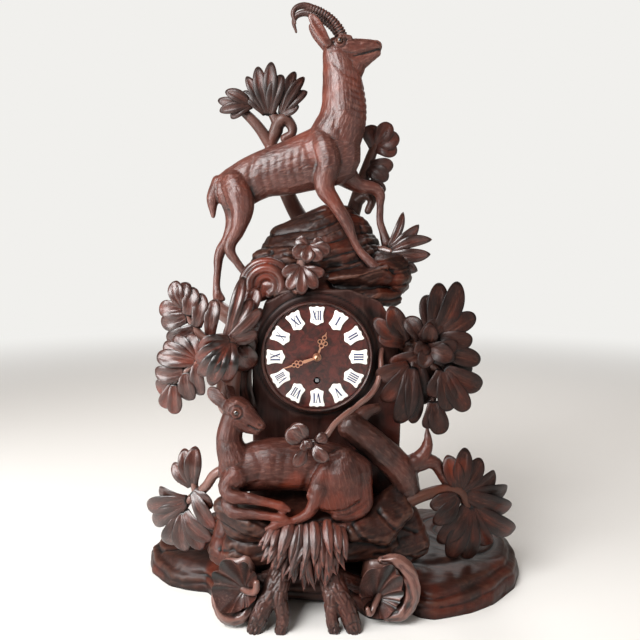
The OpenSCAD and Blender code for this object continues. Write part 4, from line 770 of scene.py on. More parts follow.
baseRock = {
    "voxel": 1.6,
    "slabs": [
        [(-70, 70, 16, 22), (80, 72, 16, 20), (-70, -60, 20, 26), (90, -60, 20, 26)],
        [(-166, 0, 4, 25), (-159, 26, 4, 25), (-140, 46, 4, 26), (-106, 60, 8, 30), (-104, -46, 4, 28),
         (-124, -44, 4, 27), (-142, -36, 4, 27), (-158, -20, 4, 25), (-70, 0, 8, 36)],
        [(-150, 2, 16, 20), (-120, 34, 20, 20), (-112, -28, 20, 20), (-80, 0, 24, 20)],
        [(196, -20, 4, 28), (197, 12, 4, 27), (186, 40, 4, 28), (162, 56, 4, 27), (130, 62, 8, 28),
         (184, -50, 4, 27), (162, -72, 4, 28), (138, -88, 4, 27), (112, -96, 4, 28), (90, 0, 8, 36)],
        [(178, -8, 20, 20), (150, 40, 22, 20), (140, -58, 20, 20), (104, -70, 20, 18), (90, 0, 24, 20)],
        [(60, -104, 10, 22), (104, -88, 14, 22), (40, -80, 20, 20)],
        [(-74, -96, 10, 22), (-60, -80, 20, 22), (-100, -60, 10, 20)],
        [(-40, -84, 20, 20), (30, -84, 20, 20), (-10, -60, 26, 20)]],
    "grooves": [(8, 1.6, 0.9), (17, 2.6, 2.2), (29, 3.4, 1.5)], "grooveReach": (62, 95),
    "hills": [(2.0, 27, 1), (0.9, 12, 4), (0.25, 5, 2)],
    "swirls": [(-138, 6, 1), (160, -14, -1)], "swirlPitch": 15, "swirlDepth": 2.8, "swirlReach": (46, 62)}
wings = fuse([slab(knobs) for knobs in baseRock["slabs"]], "wings", baseRock["voxel"], rounds=16, floor=0)
points, normals = readSurface(wings)
reach = np.hypot(points[:, 0], points[:, 1] * 0.8)
outer = smoothStep(*baseRock["grooveReach"], reach)
climb = points[:, 2] - 0.06 * (reach - 120) + 5 * softNoise(points / 38, 3)
cut = sum(-depth * np.exp(-((climb - height) / width) ** 2) for height, width, depth in baseRock["grooves"])
cut = addHills(cut * outer, points, baseRock["hills"])
for x, y, sense in baseRock["swirls"]:     # a spiral groove on top of each wing
    across, along = points[:, 0] - x, 1.15 * (points[:, 1] - y)
    radius = np.hypot(across, along) + 3 * softNoise(points / 30, 6)
    phase = (radius / baseRock["swirlPitch"] - sense * np.arctan2(along, across) / (2 * math.pi)) % 1
    top = smoothStep(0.25, 0.65, normals[:, 2]) * (1 - smoothStep(*baseRock["swirlReach"], radius))
    cut -= baseRock["swirlDepth"] * np.exp(-((phase - 0.5) / 0.16) ** 2) * top
cut *= smoothStep(0, 2, points[:, 2])
flat = normals.copy()
flat[:, 2] *= 0.6
points = points + flat * cut[:, None]
points[:, 2] = np.maximum(points[:, 2], 0)
storeCarving(wings, points, points, rounds=5, deep=1.2)
finishPiece(wings, "baseRockCarved", ["base_rock"], finishes["rock"])

ledge = {
    "voxel": 1.3,
    "slabs": [
        [(-74, -96, 60, 22), (-70, -70, 80, 20), (60, -70, 80, 24), (64, -96, 66, 18), (-10, -110, 62, 14),
         (-10, -70, 84, 20)],
        [(-92, -106, 106, 8), (-62, -124, 94, 8), (-42, -126, 86, 8), (-78, -104, 84, 12),
         (-90, -84, 98, 10)],
        [(-70, -100, 98, 8), (-30, -116, 94, 8), (30, -112, 92, 8), (50, -92, 98, 8), (-60, -74, 104, 8),
         (48, -74, 104, 8)],
        [(34, -118, 84, 8), (64, -116, 78, 8), (86, -96, 96, 8), (56, -92, 96, 10), (80, -78, 110, 8)],
        [(70, -96, 52, 16), (100, -84, 58, 14), (92, -74, 84, 12), (60, -84, 76, 12)],
        [(-96, -88, 52, 14), (-74, -100, 50, 16), (-88, -78, 82, 12)],
        [(-34, -112, 70, 12), (18, -112, 70, 12), (-10, -118, 62, 10), (-20, -96, 84, 10)]]}


def roughRock(obj, seed, layer, layerCut):
    # broad hollows, layers of stone and a few small gouge marks on smooth slabs
    points, normals = readSurface(obj)
    cut = addHills(0, points, [(1.1, 24, seed), (0.7, 11, seed + 2)])
    cut += 0.3 * softNoise(points * (0.3, 0.2, 0.3), seed + 5)
    bed = (points[:, 2] - 0.22 * points[:, 0] + 9 * softNoise(points / 32, seed + 7)) / layer % 1
    steep = 1 - smoothStep(0.5, 0.85, np.abs(normals[:, 2]))
    cut -= layerCut * np.exp(-((bed - 0.5) / 0.1) ** 2) * steep
    cut += 0.6 * layerCut * smoothStep(0.55, 1, bed) * steep
    points = points + normals * cut[:, None]
    across, up = math.cos(0.5), math.sin(0.5)     # the tool strokes lean by half a radian
    lean = points.copy()
    lean[:, 0] = points[:, 0] * across + points[:, 2] * up
    lean[:, 2] = points[:, 2] * across - points[:, 0] * up
    storeCarving(obj, points, lean, rounds=6, deep=0.9)


ledgeRock = fuse([slab(knobs) for knobs in ledge["slabs"]], "ledge", ledge["voxel"], rounds=2)
gouge(ledgeRock, [([(-92, 92), (-70, 84), (-48, 80)], 2, 1.6), ([(-60, 100), (-40, 94), (-20, 92)], 2, 1.2),
                  ([(34, 92), (48, 74), (66, 68)], 2, 1.6), ([(60, 100), (78, 84), (98, 74)], 2, 1.6),
                  ([(56, 60), (76, 58), (98, 48)], 2, 1.6), ([(-96, 60), (-80, 66), (-66, 60)], 2, 1.4)])
roughRock(ledgeRock, seed=11, layer=21, layerCut=0.6)
finishPiece(ledgeRock, "ledgeCarved", ["deer_ledge"], finishes["rock"])


barkLook = {"plateLength": 9, "plateWidth": 4.2, "warp": 3.4, "crack": (0.02, 0.3)}


def barkOn(obj, paths, scale, depth, ripple=0.0):
    # scaly bark: long plates with dark cracks between them, running along the limb, and ripples 10 mm apart
    points, normals = readSurface(obj)
    flow = alongLimbs(points, paths)
    warp = barkLook["warp"] * softNoise(points / 7, 4)
    wide = barkLook["plateWidth"]
    alongPlate = flow[:, 0] / barkLook["plateLength"] + 0.3 * warp / 3
    plates = np.stack([alongPlate, (flow[:, 1] + warp * 0.4) / wide, flow[:, 2] / wide], axis=1) / scale
    near, second = cellNoise(plates, 8)
    crack = 1 - smoothStep(*barkLook["crack"], second - near)
    lift = depth * (0.5 - 1.3 * crack + 0.5 * (0.6 - near)) + 0.15 * softNoise(points / 2.2, 6)
    lift += ripple * np.cos(flow[:, 0] / 1.6 + 2 * softNoise(points / 9, 8))
    storeCarving(obj, points + normals * lift[:, None], flow, rounds=4, deep=0.8)


rootPaths = {
    "rootLeft": ("root_foot_left", [
        [(-26, -112, 62, 13), (-40, -130, 38, 10), (-50, -138, 20, 9), (-57, -140, 2, 8)],
        [(-30, -116, 56, 11), (-35, -136, 32, 8), (-31, -142, 14, 6), (-33, -143, 2, 6)],
        [(-40, -124, 44, 8), (-60, -118, 34, 7), (-70, -108, 24, 8)]]),
    "rootRight": ("root_foot_right", [
        [(2, -112, 62, 13), (16, -130, 40, 10), (28, -138, 20, 9), (34, -140, 2, 8)],
        [(6, -116, 56, 11), (13, -134, 34, 8), (14, -141, 14, 6), (16, -142, 2, 6)],
        [(14, -124, 46, 8), (30, -116, 36, 7), (42, -106, 26, 8)]])}
for name, (node, paths) in rootPaths.items():
    root = fuse(limbs(paths), name, voxel=0.9, rounds=2, floor=0)
    barkOn(root, paths, scale=1.1, depth=0.5)
    for path in paths[:2]:
        x, z, size = path[-1][0], path[-1][2] + 4, path[-1][3]
        gouge(root, [(circlePath(x, z, size * 0.62), 1.0, 0.8), ([(x, z), (x + 0.1, z)], size * 0.3, 1.4)],
              facing=0.5)
    points = readPoints(root)
    points[:, 2] = np.maximum(points[:, 2], 0)
    writePoints(root, points)
    finishPiece(root, name, [node], finishes["bark"])
print("scene: base carved")


# Curled leaves, grass, base leaves

curls = {
    "curlLeft": {"node": "curled_leaf_left", "middle": (-68, -128, 33), "lobes": 9, "scallop": 0.16,
                 "curl": 1.9, "flute": 0.5, "rib": 0.7, "ruffle": 2.0, "thick": 9,
                 "back": [(-84, -112, 18, 10), (-80, -112, 50, 10), (-68, -114, 30, 10), (-68, -112, 54, 10)],
                 "roll": [(-93, -130, 40, 4), (-92, -133, 22, 6), (-82, -135, 11, 8), (-68, -134, 12, 7),
                          (-58, -130, 26, 4)],
                 "rims": [(-97, -138, 40), (-92, -142, 58), (-78, -146, 70), (-60, -144, 62), (-54, -142, 40),
                          (-62, -142, 26), (-78, -144, 19), (-91, -142, 25)],
                 "stem": [(-70, -126, 33, 3.4), (-62, -134, 34, 3.4), (-56, -142, 40, 3.4),
                          (-55, -144, 48, 3)]},
    "curlRight": {"node": "curled_leaf_right", "middle": (56, -124, 22), "lobes": 12, "scallop": 0.14,
                  "curl": 1.9, "flute": 0.5, "rib": 0.7, "ruffle": 2.0, "thick": 9,
                  "back": [(50, -106, 18, 10), (72, -106, 20, 12), (70, -106, 48, 10), (54, -106, 46, 10)],
                  "roll": [(60, -132, 64, 4), (74, -134, 64, 7), (86, -132, 50, 8), (89, -130, 30, 8),
                           (80, -131, 13, 8), (66, -132, 9, 5)],
                  "rims": [(40, -138, 44), (46, -142, 60), (62, -142, 64), (74, -140, 56), (80, -136, 34),
                           (72, -136, 18), (58, -138, 10), (45, -138, 18)],
                  "stem": [(60, -122, 26, 3.2), (54, -132, 20, 3), (49, -138, 15, 2.6), (47, -139, 20, 2.4)]}}
for name, look in curls.items():
    core = slab(look["back"])
    piece = {"name": name, "node": look["node"], "finish": "oak", "stems": [look["stem"]], "fingers": []}
    carveLeaf(piece, [core, bowlLeaf(look), rolledEdge(look["roll"])])

tuftUnder = [(-54, 80), (-50, 66), (-42, 56), (-33, 48), (-22, 43), (-12, 38), (-1, 38), (9, 43), (18, 50),
             (25, 60), (29, 74)]
tuftOver = [(-50, 78), (-44, 66), (-36, 58), (-27, 52), (-17, 48), (-7, 46), (3, 48), (12, 54), (20, 62),
            (26, 72)]
tuftTop = [(-42, 78), (-34, 70), (-24, 65), (-14, 62), (-4, 62), (6, 64), (15, 70), (22, 78)]
tuftMid = [(-53, 84), (-40, 60), (-21, 44), (-2, 40), (17, 52), (30, 80), (-30, 50), (8, 44)]
tuftRows = [(tuftUnder, -40, 5.8, -122, 90, -138, 11), (tuftMid, -38, 8.2, -124, 94, -141, 11),
            (tuftOver, -37, 6.6, -125, 96, -143, 11), (tuftTop, -33, 7.4, -126, 98, -145, 11)]
grass = {
    "name": "grassTuft", "node": "grass_tuft", "finish": "fur", "look": "blade",
    "stems": [[(-38, -120, 88, 5), (-20, -120, 92, 5), (0, -120, 92, 5), (24, -119, 90, 5)],
              [(-30, -118, 82, 5), (12, -118, 80, 5)]],
    "fingers": [((left + step * i + 2 * math.sin(7 * i), y, top + 3.5 * math.sin(2.6 * i + left)),
                 [(x + 1.5 * math.sin(5 * i), front + 1.5 * math.sin(4 * i), z + 3 * math.sin(3.3 * i))],
                 width + 1.6 * math.sin(2 * i), 4, 0.1, 0.1)
                for row, left, step, y, top, front, width in tuftRows for i, (x, z) in enumerate(row)]}
carveLeaf(grass)

baseLeafLeft = {
    "name": "baseLeafLeft", "node": "base_leaf_left", "finish": "oak", "look": "wavy",
    "stems": [[(-84, -86, 118, 6), (-92, -82, 132, 5), (-102, -78, 128, 5), (-112, -74, 114, 5),
               (-122, -70, 104, 5), (-132, -68, 96, 4), (-140, -66, 80, 4), (-144, -62, 64, 3)],
              [(-122, -70, 104, 5), (-127, -68, 118, 3), (-128, -66, 134, 2)]],
    "fingers": [((-127, -67, 112), [(-124, -66, 153), (-136, -64, 150), (-148, -62, 134)], 15),
                ((-126, -70, 108), [(-106, -76, 92), (-102, -78, 70)], 16),
                ((-132, -69, 98), [(-164, -58, 106), (-178, -54, 86), (-172, -52, 66)], 16),
                ((-136, -68, 86), [(-158, -56, 46), (-138, -62, 40), (-118, -68, 44), (-106, -72, 56)], 17)]}
carveLeaf(baseLeafLeft)

baseLeafRight = {
    "name": "baseLeafRight", "node": "base_leaf_right", "finish": "redLeafShaded", "look": "wavy",
    "stems": [[(84, -88, 100, 7), (104, -86, 108, 6), (124, -82, 112, 6), (142, -80, 112, 6),
               (150, -78, 98, 5), (156, -74, 80, 4), (158, -70, 60, 4), (158, -66, 44, 4)]],
    "fingers": [((142, -80, 112), [(130, -80, 148), (148, -78, 155), (166, -72, 142)], 17),
                ((146, -80, 110), [(182, -66, 126), (197, -58, 106), (201, -56, 84)], 18),
                ((140, -82, 108), [(112, -88, 98), (116, -88, 80)], 16),
                ((152, -78, 96),
                 [(206, -54, 58), (178, -64, 48), (154, -72, 36), (134, -78, 40), (122, -82, 58)], 19)]}
carveLeaf(baseLeafRight)
print("scene: base leaves carved")


# Bough, deer and clover

boughPaths = [
    [(34, -84, 178, 14), (58, -84, 158, 15), (84, -82, 132, 15), (92, -80, 112, 12)],
    [(80, -82, 134, 12), (100, -80, 142, 9), (110, -78, 156, 6), (110, -76, 176, 1.5)],
    [(96, -80, 138, 9), (116, -78, 140, 7), (128, -76, 124, 6), (134, -78, 112, 5)],
    [(34, -82, 176, 10), (48, -76, 190, 7), (60, -72, 194, 5)]]
bough = fuse(limbs(boughPaths), "bough", voxel=1.0, rounds=2)
barkOn(bough, boughPaths, scale=3.2, depth=0.2, ripple=0.14)
clearOfDial(bough)
finishPiece(bough, "brokenBough", ["broken_bough"], finishes["bark"])


furLook = {"length": 7, "width": 2.4, "depth": 0.24, "drift": 1.6, "patches": 26}


def furOn(obj, paths):
    # short hair strokes cut along each limb, shallower in patches
    points, normals = readSurface(obj)
    flow = alongLimbs(points, paths)
    turn = furLook["drift"] * softNoise(points / 12, 2)
    across = (flow[:, 1:] + turn[:, None]) / furLook["width"]
    stroke = softNoise(np.column_stack([flow[:, 0] / furLook["length"], across]), 3)
    patch = 0.35 + 0.65 * smoothStep(-0.3, 0.5, softNoise(points / furLook["patches"], 12))
    cut = furLook["depth"] * patch * stroke
    storeCarving(obj, points + normals * cut[:, None], flow, rounds=6, deep=1.0)


deerTrunk = [(-74, -102, 140, 22), (-46, -99, 145, 26), (-18, -98, 144, 25), (4, -98, 142, 25),
             (22, -98, 136, 27)]
deerHaunch = [(22, -112, 138, 24), (26, -112, 122, 19)]
deerThigh = [(8, -118, 145, 8), (3, -120, 137, 8), (26, -112, 153, 12), (40, -106, 142, 13),
             (44, -106, 116, 10), (24, -116, 106, 8), (2, -122, 116, 7), (-4, -123, 122, 6)]
deerHooves = [[(-38, -132, 97, 4.6), (-46, -133, 94, 2.6), (-40, -132, 93, 3.6)],
              [(-33, -128, 114, 4.4), (-26, -129, 111, 2.6), (-32, -128, 110, 3.4)],
              [(-32, -131, 104, 4.4), (-25, -132, 101, 2.6), (-31, -131, 100, 3.4)]]
deerPaths = [
    [(-78, -104, 150, 17), (-84, -102, 168, 13), (-82, -99, 184, 12), (-78, -99, 194, 12)],
    [(-78, -99, 199, 12.5), (-71, -101, 197, 10.5), (-61, -104, 189.5, 7.6), (-54, -106, 184.5, 5.6)],
    [(-76, -101, 189, 10), (-66, -103, 183, 7), (-58, -106, 179.5, 4.2)],
    [(-76, -107, 207, 3.2), (-68, -107, 203, 2.6)], [(-74, -92, 207, 3.2), (-67, -93, 203, 2.6)],
    [(2, -123, 128, 8), (-3, -125, 114, 6.4), (-9, -127, 106, 5.2), (-22, -130, 101, 3.8),
     (-33, -132, 98.5, 3.6), (-40, -132, 96.5, 4.4)],
    [(44, -104, 122, 9), (46, -108, 108, 7.5), (36, -114, 101, 6), (18, -120, 101, 5)],
    [(-76, -112, 138, 14), (-84, -120, 126, 8), (-60, -126, 120, 5.2), (-45, -127, 117, 4.2),
     (-33, -128, 114, 4.6)],
    [(-80, -112, 120, 9), (-82, -122, 110, 7), (-56, -128, 106, 4.8), (-42, -130, 105, 4),
     (-32, -131, 104, 4.6)],
    [(40, -84, 148, 7), (48, -80, 140, 4)]]
deerCuts = [
    (circlePath(-76, 198, 4.4), 0.9, -0.7), (circlePath(-76, 198, 6.6), 1.2, 0.6),
    ([(-71, 195), (-66, 190)], 1.6, 0.5),
    ([(-50, 180.5), (-57, 181.5), (-65, 185.5)], 0.8, 1.3), ([(-53, 186), (-54.5, 186.5)], 1.0, 1.1),
    ([(20, 161), (6, 156), (-7, 146), (-11, 132), (-13, 120)], 2.6, 1.2),
    ([(40, 114), (28, 108), (10, 107), (0, 110)], 1.8, 1.3), ([(30, 150), (16, 140), (12, 124)], 5, -0.7),
    ([(-60, 164), (-52, 150), (-56, 134), (-66, 126)], 3.0, 0.9),
    ([(-94, 168), (-90, 152), (-84, 146)], 2.0, 0.6), ([(-46, 126), (-24, 123), (-6, 126)], 2.4, 0.8)]
deerCuts += [([(x, 158), (x - 2, 148), (x - 1, 136)], 2.4, 0.35) for x in (-38, -29, -20, -11)]
deerEars = [{"base": (-86, -98, 200), "tip": (-105, -90, 218), "width": 11, "cup": 0.6, "face": (0, -1, 0)},
            {"base": (-82, -88, 204), "tip": (-90, -77, 220), "width": 9, "cup": 0.5, "face": (0.3, 1, 0)}]
deerForms = squeeze(limb(deerTrunk, around=9), -100, 0.85) + squeeze(limb(deerHaunch, around=9), -112, 0.7)
deerForms += limbs(deerPaths) + [slab(knobs) for knobs in [deerThigh] + deerHooves]
deerForms += [finger(thick=4, bow=0.05, **ear) for ear in deerEars]
deer = fuse(deerForms, "deer", voxel=0.9, rounds=6)
gouge(deer, deerCuts)
furOn(deer, [deerTrunk, deerHaunch] + deerPaths)
clearOfDial(deer)
finishPiece(deer, "recliningDeer", ["reclining_deer"], finishes["deerFur"])

clover = {
    "name": "cloverSprig", "node": "clover_sprig", "finish": "oak", "look": "clover",
    "stems": [[(-10, -122, 172, 3), (4, -124, 176, 3), (18, -116, 190, 2.8), (36, -101, 201, 2.8),
               (54, -88, 213, 3), (63, -77, 231, 3), (64, -66, 246, 3), (66, -58, 252, 3)]],
    "fingers": [((-9, -124, 174), [(-28, -128, 186), (-22, -128, 192)], 15, 4, 0.16, 0.25),
                ((-11, -126, 172), [(-20, -137, 154)], 11, 4, 0.16, 0.4),
                ((-4, -125, 174), [(10, -133, 158)], 11, 4, 0.16, 0.4),
                ((-2, -124, 175), [(10, -127, 180)], 9, 4, 0.16, 0.2),
                ((-12, -127, 176), [(-12, -133, 167), (-4, -132, 171)], 8, 5, 0.2, 0.1)]}
carveLeaf(clover)


def glassEye(name, node, at, mirrorY, radius):
    # a glass ball on both sides of the head
    away = abs(at[1] - mirrorY)
    eye = joinPieces([ball((at[0], mirrorY + side * away, at[2], radius), segments=24) for side in (-1, 1)],
                     name)
    bpy.ops.object.shade_smooth()
    return finishPiece(eye, name, [node], finishes["eye"])


glassEye("deerEyes", "deer_eyes", (-76, -109, 198), -99, 3.4)
print("scene: deer carved")


# Summit rock, chamois, branches

summitSlabs = [
    [(-56, 10, 10, 20), (-40, 0, 56, 12), (10, 0, 78, 12), (44, 4, 66, 12), (66, 10, 20, 20),
     (50, -34, 12, 14), (-50, -34, 8, 14), (0, 36, 30, 18)],
    [(-62, -30, 2, 12), (-58, -20, 30, 12), (-30, -30, 30, 14), (-20, -40, 8, 12), (-40, 20, 30, 16)],
    [(62, -10, 16, 14), (86, -14, 22, 15), (88, 6, 6, 16), (66, 10, 34, 14), (82, -30, 10, 15),
     (64, -34, 18, 14)],
    [(12, -57, 11, 2), (42, -62, 14, 2), (70, -54, 20, 2.5), (20, -34, 20, 2), (72, -30, 25, 3),
     (22, -50, 2, 2), (60, -48, 4, 3), (78, -38, 9, 4)],
    [(6, -30, 34, 10), (40, -28, 38, 10), (10, 0, 60, 12), (50, 0, 52, 12), (30, -36, 24, 8)],
    [(24, 30, 70, 9), (52, 26, 64, 9), (30, 4, 82, 8), (14, 20, 40, 14), (50, 20, 40, 12)],
    [(16, -54, -6, 6), (60, -50, -8, 8), (80, -30, -10, 10), (60, -30, 6, 8), (20, -40, 4, 6)],
    [(-40, -50, -8, 6), (-20, -54, -4, 6), (10, -54, -2, 6), (0, -36, 10, 10), (-40, -36, 6, 8)]]
onSummit = (0, 0, caseTop)
summit = fuse([slab(shifted(knobs, onSummit)) for knobs in summitSlabs], "summit", voxel=1.2, rounds=2)
gouge(summit, [([(12, 24), (30, 27), (50, 33), (64, 34)], 2.6, 2.6),
               ([(-34, 36), (-10, 30), (8, 20)], 2.4, 1.8),
               ([(46, 68), (54, 50), (62, 40)], 2.4, 1.6), ([(66, 22), (80, 16), (96, 18)], 2.2, 1.8),
               ([(-48, 40), (-52, 20), (-44, 8)], 2.4, 1.6)], onSummit)
roughRock(summit, seed=21, layer=16, layerCut=1.4)
clearOfDial(summit)
finishPiece(summit, "summitRock", ["summit_rock"], finishes["rock"])

chamoisTrunk = [(14, -20, 140, 33), (-30, -20, 126, 28), (-60, -20, 118, 24), (-86, -20, 104, 23)]
chamoisNeck = [(18, -20, 154, 28), (27, -20, 178, 25), (27, -20, 206, 22), (24, -20, 226, 19),
               (20, -20, 240, 15)]
chamoisHead = [[(20, -20, 245, 14), (36, -20, 247, 11), (50, -20, 249, 8.4), (61, -20, 249.5, 6.6)],
               [(26, -20, 234, 14), (42, -20, 234, 10), (54, -20, 239, 6.4), (62, -20, 243, 4.4)],
               [(30, -20, 218, 17), (38, -20, 228, 12)]]
chamoisLegs = [
    [(24, -11, 257, 3), (34, -12.5, 256, 2.4)], [(24, -29, 257, 3), (34, -27.5, 256, 2.4)],
    [(-104, -20, 112, 7), (-110, -20, 94, 7), (-110, -20, 76, 2.5)],
    [(4, -27, 156, 12), (8, -32, 145, 14), (12, -34, 130, 14)],
    [(-86, -26, 108, 15), (-81, -30, 96, 15), (-78, -32, 84, 13), (-82, -34, 62, 8), (-91, -34, 42, 6.2),
     (-83, -35, 27, 4.2), (-70, -36, 11, 4), (-62, -37, 2, 5)],
    [(-90, -12, 98, 15), (-88, -8, 74, 11), (-96, -8, 52, 7), (-105, -8, 38, 5.8), (-108, -9, 16, 4),
     (-109, -10, 2, 4), (-108, -12, -8, 5.2)],
    [(12, -34, 130, 14), (8, -36, 104, 10.5), (18, -38, 88, 7.5), (30, -39, 69, 6.6), (38, -40, 50, 4.2),
     (44, -41, 39, 4.4), (54, -43, 28, 5), (60, -44, 21, 5.5)],
    [(28, -10, 122, 14), (44, -6, 110, 8.5), (66, -4, 103, 6.4), (68, -4, 88, 4), (68, -4, 72, 4),
     (72, -5, 58, 4.6), (75, -6, 48, 6)]]
chamoisHooves = [[(60, -44, 22, 5), (58, -44, 17, 4.5), (66, -45, 17, 3)],
                 [(-62, -37, 4, 4.8), (-64, -37, -2, 4.4), (-55, -38, -3, 3)],
                 [(75, -6, 49, 5.4), (74, -6, 44, 4.6), (81, -6, 44, 3)],
                 [(-108, -12, -6, 5), (-109, -12, -12, 4), (-102, -13, -12, 3)]]
chamoisCuts = [
    (circlePath(23, 251.5, 4.2), 0.9, -0.7), (circlePath(23, 251.5, 6.4), 1.2, 0.7),
    ([(70, 246.5), (60, 244.5), (48, 241), (38, 238)], 0.9, 1.5), ([(64, 251), (62, 252.5)], 1.0, 1.2),
    ([(50, 246), (38, 243), (30, 244)], 1.8, -0.5), ([(44, 250), (32, 247)], 1.6, 0.5),
    ([(14, 240), (18, 228), (28, 218), (40, 214)], 2.4, 0.8),
    ([(-8, 160), (-12, 148), (-8, 134), (2, 122)], 3.6, 0.9), ([(22, 160), (28, 146), (26, 130)], 3.0, 0.9),
    ([(-66, 134), (-70, 118), (-66, 100), (-62, 92)], 3.0, 1.2),
    ([(-96, 108), (-94, 90), (-90, 76)], 3.0, 0.6), ([(14, 196), (20, 178), (18, 164)], 3.0, 0.6)]
chamoisCuts += [([(x, 146 + 0.3 * x), (x - 1, 132 + 0.3 * x), (x + 3, 118 + 0.3 * x)], 2.2,
                 0.4 + 0.12 * math.sin(x))
                for x in (-56, -48, -40, -32, -24, -16)]
neckCuts = [([(32, z + 4), (42, z), (50, z - 1), (58, z - 5)], 1.5, 0.6 + 0.2 * math.sin(z))
            for z in (206, 200, 194, 188, 182, 175, 168)]
raised = [shifted(path, onSummit) for path in [chamoisTrunk, chamoisNeck] + chamoisHead + chamoisLegs]
chamoisForms = squeeze(limb(raised[0], around=9), -20, 0.64) + squeeze(limb(raised[1], around=9), -20, 0.75)
chamoisForms += squeeze(limb(raised[2]) + limb(raised[3]) + limb(raised[4]), -20, 0.85) + limbs(raised[5:])
chamoisForms += [slab(shifted(knobs, onSummit)) for knobs in chamoisHooves]
for sideSign in (-1, 1):
    earBase, earTip = (13, -20 + 9 * sideSign, 246 + caseTop), (-8, -20 + 14 * sideSign, 277 + caseTop)
    chamoisForms.append(finger(earBase, earTip, width=10, thick=4, bow=0.06, cup=0.6, face=(0, sideSign, 0)))
chamois = fuse(chamoisForms, "chamois", voxel=0.95, rounds=6)
gouge(chamois, chamoisCuts, onSummit)
gouge(chamois, neckCuts, onSummit, facing=-0.4)
furOn(chamois, raised)
finishPiece(chamois, "standingChamois", ["standing_chamois"], finishes["fur"])

hornLook = {"line": [(27, 256, 5.6), (20, 268, 5), (10, 277, 4.5), (-4, 284, 3.9), (-16, 286, 3.3),
                     (-24, 280, 2.6), (-22, 268, 1.3)], "ring": 3.0, "ringDepth": 0.45}
hornPaths = [[(x, -20 + s * (5 + 1.2 * i), z + caseTop, r) for i, (x, z, r) in enumerate(hornLook["line"])]
             for s in (-1, 1)]
horns = fuse(limbs(hornPaths), "horns", voxel=0.6, rounds=2)
points, normals = readSurface(horns)
flow = alongLimbs(points, hornPaths)
rings = np.cos(flow[:, 0] * 2 * math.pi / hornLook["ring"]) * (1 - smoothStep(34, 52, flow[:, 0]))
points = points + normals * (hornLook["ringDepth"] * rings)[:, None]
storeCarving(horns, points, flow, rounds=4, deep=0.5)
finishPiece(horns, "chamoisHorns", ["chamois_horns"], finishes["bark"])
glassEye("chamoisEyes", "chamois_eyes", (23, -31, caseTop + 252), -20, 3)

backBranch = {
    "name": "oakBranchBack", "node": "oak_branch_back", "finish": "bark", "shift": onSummit,
    "stems": [[(-16, 22, 70, 10), (-30, 30, 96, 9), (-44, 30, 130, 8), (-52, 26, 158, 7), (-44, 22, 178, 7),
               (-50, 20, 192, 5)],
              [(-52, 26, 158, 7), (-66, 22, 178, 6), (-84, 20, 196, 5), (-92, 18, 204, 3)],
              [(-48, 24, 170, 7), (-38, 20, 184, 8), (-30, 20, 180, 6), (-28, 20, 170, 5),
               (-36, 20, 164, 5)]],
    "look": "wavy",
    "fingers": [((-52, 20, 188), [(-65, 16, 240), (-50, 16, 245), (-38, 14, 231)], 15, 4),
                ((-56, 20, 190), [(-77, 14, 229), (-82, 18, 214)], 12, 4),
                ((-72, 18, 199), [(-100, 12, 213), (-109, 16, 204), (-107, 14, 192), (-95, 16, 185)], 11, 4),
                ((-40, 20, 188), [(-24, 20, 236), (-14, 12, 228), (-11, 16, 214), (-20, 14, 198)], 11, 4)]}
carveLeaf(backBranch)

rightSpray = {
    "name": "oakSprayRight", "node": "oak_spray_right", "finish": "bark", "shift": onSummit,
    "stems": [[(36, 22, 70, 9), (44, 26, 96, 8), (52, 24, 122, 7), (58, 22, 140, 6), (64, 20, 156, 5),
               (70, 20, 170, 4)],
              [(44, 26, 96, 8), (54, 18, 102, 6), (60, 12, 96, 5), (56, 10, 84, 4)]],
    "fingers": [((64, 20, 154), [(80, 16, 180), (90, 16, 166), (88, 16, 148), (56, 18, 178)], 16),
                ((56, 22, 134), [(84, 14, 134), (78, 14, 118)], 15),
                ((50, 24, 112), [(76, 14, 108), (70, 12, 96)], 14)]}
carveLeaf(rightSpray)

fanLeaf = {
    "name": "fanLeaf", "node": "fan_leaf", "finish": "oak", "shift": onSummit, "look": "pointed",
    "stems": [[(58, 0, 36, 6), (70, -6, 40, 6), (79, -10, 38, 6)]],
    "fingers": [((76, -10, 42), [(93, -4, 82)], 9, 4), ((77, -10, 42), [(110, -6, 68)], 12, 4),
                ((78, -11, 40), [(124, -8, 52)], 12, 4), ((78, -12, 36), [(122, -12, 36)], 13, 4),
                ((78, -12, 30), [(108, -14, 18)], 14, 5)]}
carveLeaf(fanLeaf)


def fernArc(radius, r, y, start, stop, steps=9):
    middle = (-52, 4)
    turns = [math.radians(start + (stop - start) * i / (steps - 1)) for i in range(steps)]
    return [(middle[0] + radius * math.cos(a), y, middle[1] + radius * math.sin(a), r) for a in turns]


fernPaths = [fernArc(24, 5, -45, 205, -20), fernArc(17, 5, -50, 190, -30), fernArc(10, 5.5, -47, 180, -60),
             [(-74, -44, -6, 5), (-84, -48, -24, 5), (-92, -56, -44, 4)],
             [(-68, -48, 0, 5), (-76, -52, -20, 5), (-84, -60, -42, 4)]]
fernPaths = [shifted(path, onSummit) for path in fernPaths]
fernKnobs = [(-56, -40, 4, 10), (-40, -42, 4, 10), (-52, -36, 18, 8), (-60, -40, -6, 8)]
fern = fuse(limbs(fernPaths) + [slab(shifted(fernKnobs, onSummit))], "fern", voxel=0.8, rounds=2)
storeFlow(fern, alongLimbs(readPoints(fern), fernPaths))
shadeHollows(fern, rounds=5, deep=1.0)
clearOfDial(fern)
finishPiece(fern, "fernCurl", ["fern_curl"], finishes["oak"])

